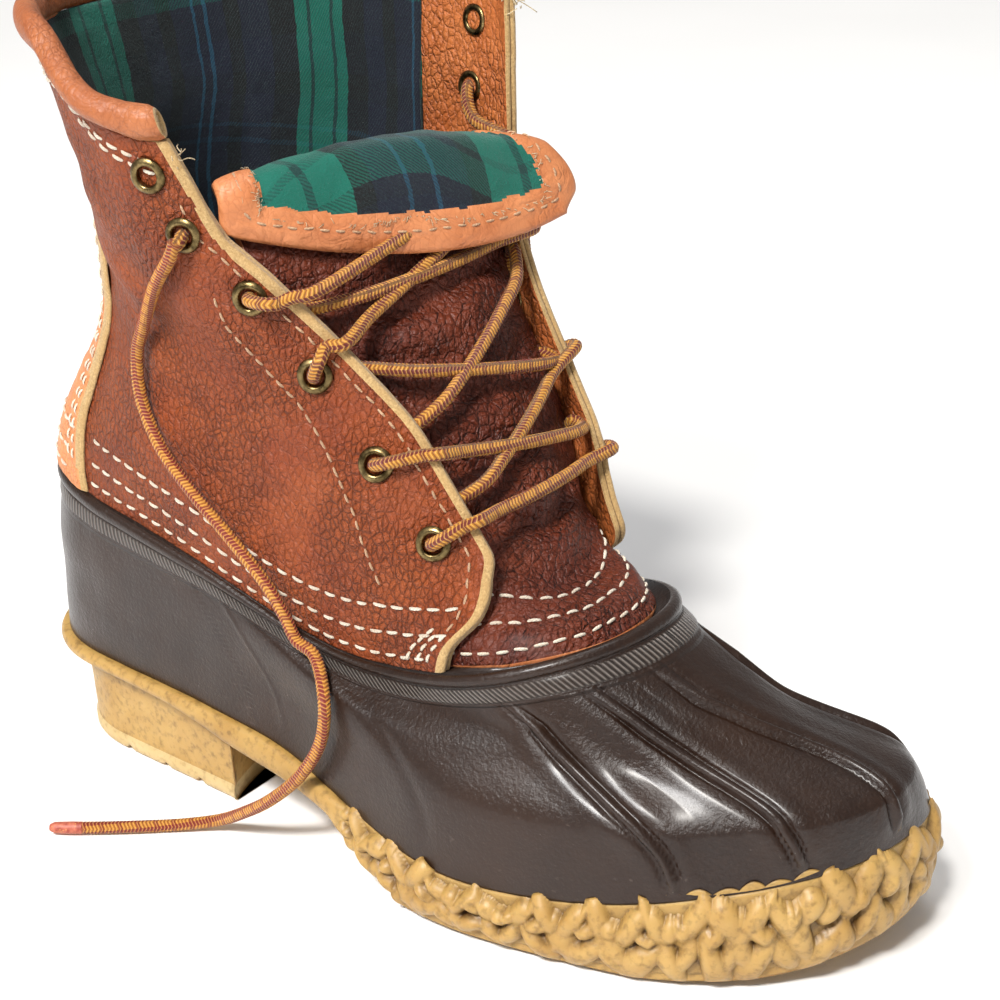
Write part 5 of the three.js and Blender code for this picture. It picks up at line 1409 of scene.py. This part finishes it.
def by_edge(lateral, h, inward, off):
    # a point near the facing's edge: inward = mm back from the edge towards the eyelets
    t = edge_t(lateral, h)
    sgn = 1 if lateral else -1
    travel = float(np.linalg.norm(surface(t - sgn * 0.02, h) - surface(t, h))) / 0.02
    return shell(np.array(t - sgn * inward / travel), np.array(float(h)), np.array(float(off)))


def eye_at(lateral, k, off):
    c, n, _, _ = EYE[(lateral, k)]
    return c + n * off


def span(lat, med, rise, back=False):
    a, b2 = by_edge(True, lat, 0, -LEATHER / 2), by_edge(False, med, 0, -LEATHER / 2)
    out = []
    for s in (0.16, 0.33, 0.5, 0.67, 0.84):
        p = a * (1 - s) + b2 * s
        p = p.copy()
        p[1] -= rise * 4 * s * (1 - s)
        out.append(p)
    return out[::-1] if back else out


OVER, UNDER = 2.3, -(LEATHER + 2.1)


def out_of(lateral, k, towards):
    # leaves the eyelet outwards and bends over its rim
    c, n, _, _ = EYE[(lateral, k)]
    d = unit(np.asarray(towards) - c)
    return [c - n * 3.2, c + n * 1.6, c + n * 3.2 + d * 2.6, c + n * 3.0 + d * 7.0]


routes = []
# bottom bar, first eyelet over both facing edges
A = out_of(True, 1, by_edge(True, 1.345, 0, 2)) + [by_edge(True, 1.335, 3, OVER), by_edge(True, 1.345, -1.5, OVER - 0.6)]
A += span(1.345, 1.360, 3.0) + [by_edge(False, 1.360, -1.5, OVER - 0.4), by_edge(False, 1.355, 3, OVER)]
A += out_of(False, 1, by_edge(False, 1.355, 0, 2))[::-1]
# first eyelets inwards, under to the crossings, and so on up
B1 = [eye_at(True, 1, -4.8), by_edge(True, 1.345, 9, UNDER - 0.6), by_edge(True, 1.375, 4, UNDER)]
B1 += span(1.375, 1.540, 3.0) + [by_edge(False, 1.540, -1.8, OVER), by_edge(False, 1.530, 3, OVER + 0.3)]
B1 += out_of(False, 2, by_edge(False, 1.53, 3, 2))[::-1]
B1 += [eye_at(False, 2, -4.8), by_edge(False, 1.520, 8, UNDER - 0.4), by_edge(False, 1.520, 2, UNDER)]
B1 += span(1.640, 1.520, 7.0, back=True) + [by_edge(True, 1.640, 3, UNDER), by_edge(True, 1.635, 8, UNDER - 0.4), eye_at(True, 3, -4.8)]
B1 += out_of(True, 3, by_edge(True, 1.69, 3, 2)) + [by_edge(True, 1.690, 3, OVER), by_edge(True, 1.690, -1.5, OVER - 0.6)]
B1 += span(1.690, 1.800, 1.2) + [by_edge(False, 1.800, 2, UNDER), by_edge(False, 1.79, 8, UNDER - 0.4), eye_at(False, 4, -4.8), eye_at(False, 4, 1.5)]
C1 = [eye_at(False, 1, -4.8), by_edge(False, 1.405, 7, UNDER - 0.4), by_edge(False, 1.405, 2, UNDER)]
C1 += span(1.480, 1.405, 4.0, back=True) + [by_edge(True, 1.480, -1.5, OVER - 0.6), by_edge(True, 1.478, 3, OVER)]
C1 += out_of(True, 2, by_edge(True, 1.478, 3, 2))[::-1]
C1 += [eye_at(True, 2, -4.8), by_edge(True, 1.505, 8, UNDER - 0.4), by_edge(True, 1.525, 3, UNDER)]
C1 += span(1.525, 1.700, 4.0) + [by_edge(False, 1.700, 3, UNDER), eye_at(False, 3, -4.8)]
C1 += out_of(False, 3, by_edge(False, 1.73, 0, 2)) + [by_edge(False, 1.730, 3, OVER + 0.3), by_edge(False, 1.730, -1.8, OVER)]
C1 += span(1.745, 1.730, 4.5, back=True) + [by_edge(True, 1.745, 3, UNDER), by_edge(True, 1.76, 7, UNDER - 0.4), eye_at(True, 4, -4.8)]
C1 += out_of(True, 4, by_edge(True, 1.77, 2, 2)) + [by_edge(True, 1.770, 3, OVER + 0.2), by_edge(True, 1.775, -1.5, OVER)]
tt = tongue_point
C1 += [by_edge(True, 1.775, -7.0, OVER - 0.5)] + [p + np.array([0, -1.0, 5.5]) for p in span(1.745, 1.800, 2.0)[1:3]]
# top: from under the flap up to the fifth medial eyelet, and inside to the fifth lateral one
D1 = [eye_at(False, 5, 2.6), eye_at(False, 5, -3.0), by_edge(False, 1.86, 10, UNDER - 2.5), by_edge(False, 1.84, -4, UNDER + 1.5), by_edge(False, 1.82, -14, UNDER + 1)]
E1 = [eye_at(True, 5, -2.5), eye_at(True, 5, 1.0)]
routes = [A, B1, C1, D1]
h_ = Heap()
u0 = 0.0
for r in routes:
    line = catmull(np.array(r), 0.4)
    add_tube(h_, line, LACE / 2, 14, bump=lace_bump(line, LACE / 2), uv0=u0)
    u0 += arc(line)[-1]
line = catmull(np.array([eye_at(True, 5, -3.4), eye_at(True, 5, 0.8), eye_at(True, 5, 2.6) + np.array([-1.0, 0, -1.5]), free_line[6]]), 0.8)
add_tube(h_, line, LACE / 2, 14, bump=lace_bump(line, LACE / 2 * 0.99), uv0=u0)
LACE_TOTAL = u0 + FREE_LENGTH
lace_ob = done(h_.build("lace_crossings", [M_LACE]), "lace_bar", "lace_lower", "lace_upper", slot="lace_cord")

# ------------------------------------------------------------------ stitching


def on_quarter(t, h, off=0.0):
    # nearest vertices of the fine leather, so that the thread follows its folds
    t, h = np.asarray(t, float), np.asarray(h, float)
    half_ = np.where(t >= 0, t / facing_part(h, True), t / facing_part(h, False))
    i = np.clip((half_ + 1) / 2 * (NU - 1), 0, NU - 1)
    j = np.clip((h - UPPER_BASE) / (COLLAR_TOP - UPPER_BASE) * (NV - 1), 0, NV - 1)
    return bilinear(outer_, i, j) + bilinear(N0, i, j) * off, unit(bilinear(N0, i, j))


def bilinear(G, i, j):
    i0, j0 = np.clip(np.floor(i).astype(int), 0, G.shape[0] - 2), np.clip(np.floor(j).astype(int), 0, G.shape[1] - 2)
    a, b_ = (i - i0)[..., None], (j - j0)[..., None]
    return (G[i0, j0] * (1 - a) * (1 - b_) + G[i0 + 1, j0] * a * (1 - b_) + G[i0, j0 + 1] * (1 - a) * b_ + G[i0 + 1, j0 + 1] * a * b_)


rows_w, rows_t = [], []
tf_l, tf_m = float(facing_part(np.array(1.05), True)), float(facing_part(np.array(1.05), False))
strap_half = float(part_around(0.135))
for d_mm, e_l in ((5.0, 0.0), (11.5, 0.0), (18.0, 0.0)):
    lo_ = strap_half + 0.012
    for sgn, tfm in ((1, None), (-1, None)):
        t = np.linspace(lo_, 0.99, 500)
        h = near_rim(t * sgn, d_mm)
        lim = facing_part(h, sgn > 0)
        keep_ = t < lim - 0.008
        t, h = t[keep_] * sgn, h[keep_]
        P, N = on_quarter(t, h)
        rows_w.append((P, N, 4.4, 1.5))
    t = np.linspace(-strap_half + 0.01, strap_half - 0.01, 160)
    h = near_rim(t, d_mm)
    i = np.clip((t / part_around(pchip(STRAP[:, 0], STRAP[:, 1], h)) + 1) / 2 * (ns_ - 1), 0, ns_ - 1)
    j = np.clip((h - 1.012) / (1.93 - 1.012) * (ms_ - 1), 0, ms_ - 1)
    rows_w.append((bilinear(So, i, j), unit(bilinear(NS, i, j)), 4.4, 1.5))
# rows across the vamp
for s_mm in (4.5, 12.5, 20.5):
    v = np.linspace(-0.93, 0.93, 260)
    i = (v + 1) / 2 * (NT - 1)
    j = np.full(len(v), s_mm / mean_arc[-1] * (MT - 1))
    rows_w.append((bilinear(To, i, j), unit(bilinear(Nt, i, j)), 4.2, 1.5))
# bar tack at the foot of each facing
for lateral in (True, False):
    for dd in (0.0, 1.3, 2.6):
        a = on_quarter(np.array([edge_t(lateral, 1.03) * 0.985]), np.array([1.03]))
        hb = np.linspace(1.03, 1.115, 20)
        tq = np.array([edge_t(lateral, float(q)) for q in hb])
        sgn = 1 if lateral else -1
        travel = 95.0
        P, N = on_quarter(tq - sgn * (2.2 + dd) / travel, hb)
        rows_w.append((P, N, 3.4, 0.7))
# facing stitch lines: A beside the edge, B further in
for lateral in (True, False):
    sgn = 1 if lateral else -1
    for inward, h0, h1, rows_, L in ((6.6, 1.10, 1.93, rows_t, 3.4), ):
        hb = np.linspace(h0, h1, 260)
        P = np.array([np.interp(inward, gap0[:, 0][:1], [0])]) if False else None
        tq = np.array([edge_t(lateral, float(q)) for q in hb])
        e = surface(tq, hb)
        e2 = surface(tq - sgn * 0.02, hb)
        tr_ = np.linalg.norm(e2 - e, axis=1) / 0.02
        P, N = on_quarter(tq - sgn * inward / np.maximum(tr_, 20), hb)
        rows_.append((P, N, L, 1.2))
LINE_B = [(-1, [(1.775, 0.800), (1.71, 0.770), (1.62, 0.765), (1.52, 0.775), (1.42, 0.775), (1.34, 0.772), (1.25, 0.765), (1.16, 0.758)]),
          (1, [(1.76, 0.640), (1.68, 0.645), (1.58, 0.66), (1.48, 0.68), (1.38, 0.70), (1.28, 0.72), (1.18, 0.735)])]
for side, pts in LINE_B:
    q = catmull(np.array([[h * 100, f * 100] for h, f in pts]), 0.3)
    t = part_around(q[:, 1] / 100) * (1 if side < 0 else -1)
    P, N = on_quarter(t, q[:, 0] / 100)
    rows_t.append((P, N, 3.3, 0.9))
# double row under the collar
for below in (7.5, 11.0):
    for sgn in (1, -1):
        t = np.linspace(0.02, 0.99, 500)
        h = np.full(500, COLLAR_TOP) - below / 330.0 * (1 + 0.6 * np.clip((t - 0.45) / 0.4, 0, 1) ** 2)
        lim = facing_part(h, sgn > 0)
        k_ = t < lim - 0.03
        P, N = on_quarter(t[k_] * sgn, h[k_])
        rows_w.append((P, N, 4.0, 1.3))
# double rows beside the strap's edges
for sgn in (1, -1):
    for inn in (4.6, 7.4):
        hb = np.linspace(1.10, 1.91, 300)
        reach_ = part_around(pchip(STRAP[:, 0], STRAP[:, 1], hb))
        j = (hb - 1.012) / (1.93 - 1.012) * (ms_ - 1)
        width = np.array([ss_[-1, int(q)] for q in j])
        i = np.clip(((1 - inn / (width / 2)) * sgn + 1) / 2 * (ns_ - 1), 0, ns_ - 1)
        rows_w.append((bilinear(So, i, j), unit(bilinear(NS, i, j)), 3.8, 1.4))
h_ = Heap()
stitch_rows(h_, rows_w, size=0.95)
stitches = done(h_.build("white_stitches", [M_STITCH]))
# single row in the binding of the flap, seen on its lining side, and the facing rows
edge_i, edge_j = [], []
inn = BIND * 0.52
path_ij = []
jj = np.arange(MT)
start_j = int(np.argmax(target > first_fold - 2))
for j in range(start_j, MT):
    if su[0, -1] - su[0, j] > inn:
        path_ij.append((np.interp(inn, sv[:, j], np.arange(NT)), j))
jl = MT - 1
iv = np.linspace(path_ij[-1][0], NT - 1 - (NT - 1 - np.interp(sv[-1, jl] - inn, sv[:, jl], np.arange(NT))), 80)
for i in iv[1:-1]:
    ii = int(round(i))
    path_ij.append((i, np.interp(su[ii, -1] - inn, su[ii], jj)))
for j in range(MT - 1, start_j - 1, -1):
    if su[-1, -1] - su[-1, j] > inn:
        path_ij.append((np.interp(sv[-1, j] - inn, sv[:, j], np.arange(NT)), j))
pij = np.array(path_ij, float)
P, N = bilinear(Ti, pij[:, 0], pij[:, 1]), -unit(bilinear(Nt, pij[:, 0], pij[:, 1]))
P2 = catmull(P[::6], 0.6)
sN = np.linspace(0, 1, len(P)); s2 = np.linspace(0, 1, len(P2))
N2 = unit(np.stack([np.interp(s2, sN, N[:, c]) for c in range(3)], 1))
rows_t.append((P2, N2, 3.0, 1.5))
h_ = Heap()
stitch_rows(h_, rows_t, size=0.7, rise=0.6)
stitches2 = done(h_.build("tan_stitches", [M_STITCH_TAN]))

# frayed threads where the facings end under the collar and along the flap's cut lining
h_ = Heap()
rf = np.random.default_rng(77)
for lateral in (True, False):
    base_ = by_edge(lateral, 1.965, 0.5, -LEATHER / 2)
    n_ = normal_at(edge_t(lateral, 1.95), 1.95)
    for q in range(12):
        p = base_ + rf.normal(0, 1.3, 3)
        d = unit(rf.normal(0, 1, 3) + n_ * 0.3 + np.array([0, -1.0, 0.2]))
        L = rf.uniform(1.5, 4.5)
        bend = rf.normal(0, 1.2, 3)
        P = np.array([p + d * L * s + bend * s * s for s in np.linspace(0, 1, 7)])
        add_tube(h_, P, 0.16, 5, bump=np.full(7, 0.16))
fine_i = pij[::1]
for q in range(240):
    a = rf.uniform(0, 1) * (len(pij) - 1)
    k = int(a)
    i, j = pij[k]
    ii, jx = int(np.clip(round(i), 0, NT - 1)), int(np.clip(round(j), 0, MT - 1))
    # step inwards from the stitch line to the cut edge of the lining
    tgt = bilinear(Ti, np.array([np.clip(i + (NT / 2 - i) * 0.0, 0, NT - 1)]), np.array([float(jx)]))[0]
    inn_dir = unit(Ti[NT // 2, max(jx - 12, 0)] - tgt)
    p = tgt + inn_dir * (BIND * 0.46 + rf.normal(0, 0.5)) - Nt[ii, jx] * 0.25
    d = unit(-inn_dir + rf.normal(0, 0.8, 3))
    L = rf.uniform(0.8, 2.2)
    P = np.array([p + d * L * s - Nt[ii, jx] * 0.5 * math.sin(math.pi * s) for s in np.linspace(0, 1, 5)])
    add_tube(h_, P, 0.1, 4, bump=np.full(5, 0.10))
frays = done(h_.build("frayed_ends", [M_FRAY]))

# ------------------------------------------------------------------ floor and light
bpy.ops.mesh.primitive_plane_add(size=60, location=(0, 0, -0.0004))
floor = bpy.context.active_object
floor.name = "floor"
fm_ = Nodes("floor")
fcol = fm_.mix(fm_.ramp(fm_.noise(3.0, 2.0), [(0.3, 0.0), (0.7, 1.0)]), (0.93, 0.93, 0.93, 1), (0.96, 0.96, 0.96, 1))
floor.data.materials.append(fm_.finish(fcol, 0.85))


def area(name, loc, target, power, size, color=(1, 1, 1)):
    d = bpy.data.lights.new(name, "AREA")
    d.shape, d.size, d.energy, d.color = "DISK", size, power, color
    o = bpy.data.objects.new(name, d)
    bpy.context.scene.collection.objects.link(o)
    o.location = loc
    o.rotation_euler = (Vector(target) - Vector(loc)).to_track_quat("-Z", "Y").to_euler()
    return o


mid_ = Vector((0, -0.02, 0.1))
R_, U_, B_ = Vector(cam_right), Vector(cam_up), Vector(back)
sun = bpy.data.lights.new("key", "SUN")
sun.energy, sun.angle, sun.color = 2.1, math.radians(7), (1.0, 0.97, 0.92)
so = bpy.data.objects.new("key", sun)
bpy.context.scene.collection.objects.link(so)
so.rotation_euler = (-Vector((-0.60, -0.12, 0.79))).to_track_quat("-Z", "Y").to_euler()
area("fill", mid_ - R_ * 1.1 + Vector((0, 0, 0.7)) + B_ * 0.8, mid_, 4, 1.4, (0.95, 0.97, 1.0))
area("top", mid_ + Vector((0.25, 0.1, 1.3)), mid_, 4, 0.6)
area("side", mid_ + Vector((-0.98, -0.07, 0.98)), mid_, 15, 0.30)
world = bpy.data.worlds.new("world") if not bpy.context.scene.world else bpy.context.scene.world
bpy.context.scene.world = world
world.use_nodes = True
world.node_tree.nodes["Background"].inputs[0].default_value = (1, 1, 1, 1)
world.node_tree.nodes["Background"].inputs[1].default_value = 0.36
bpy.context.scene.view_settings.view_transform = "Standard"
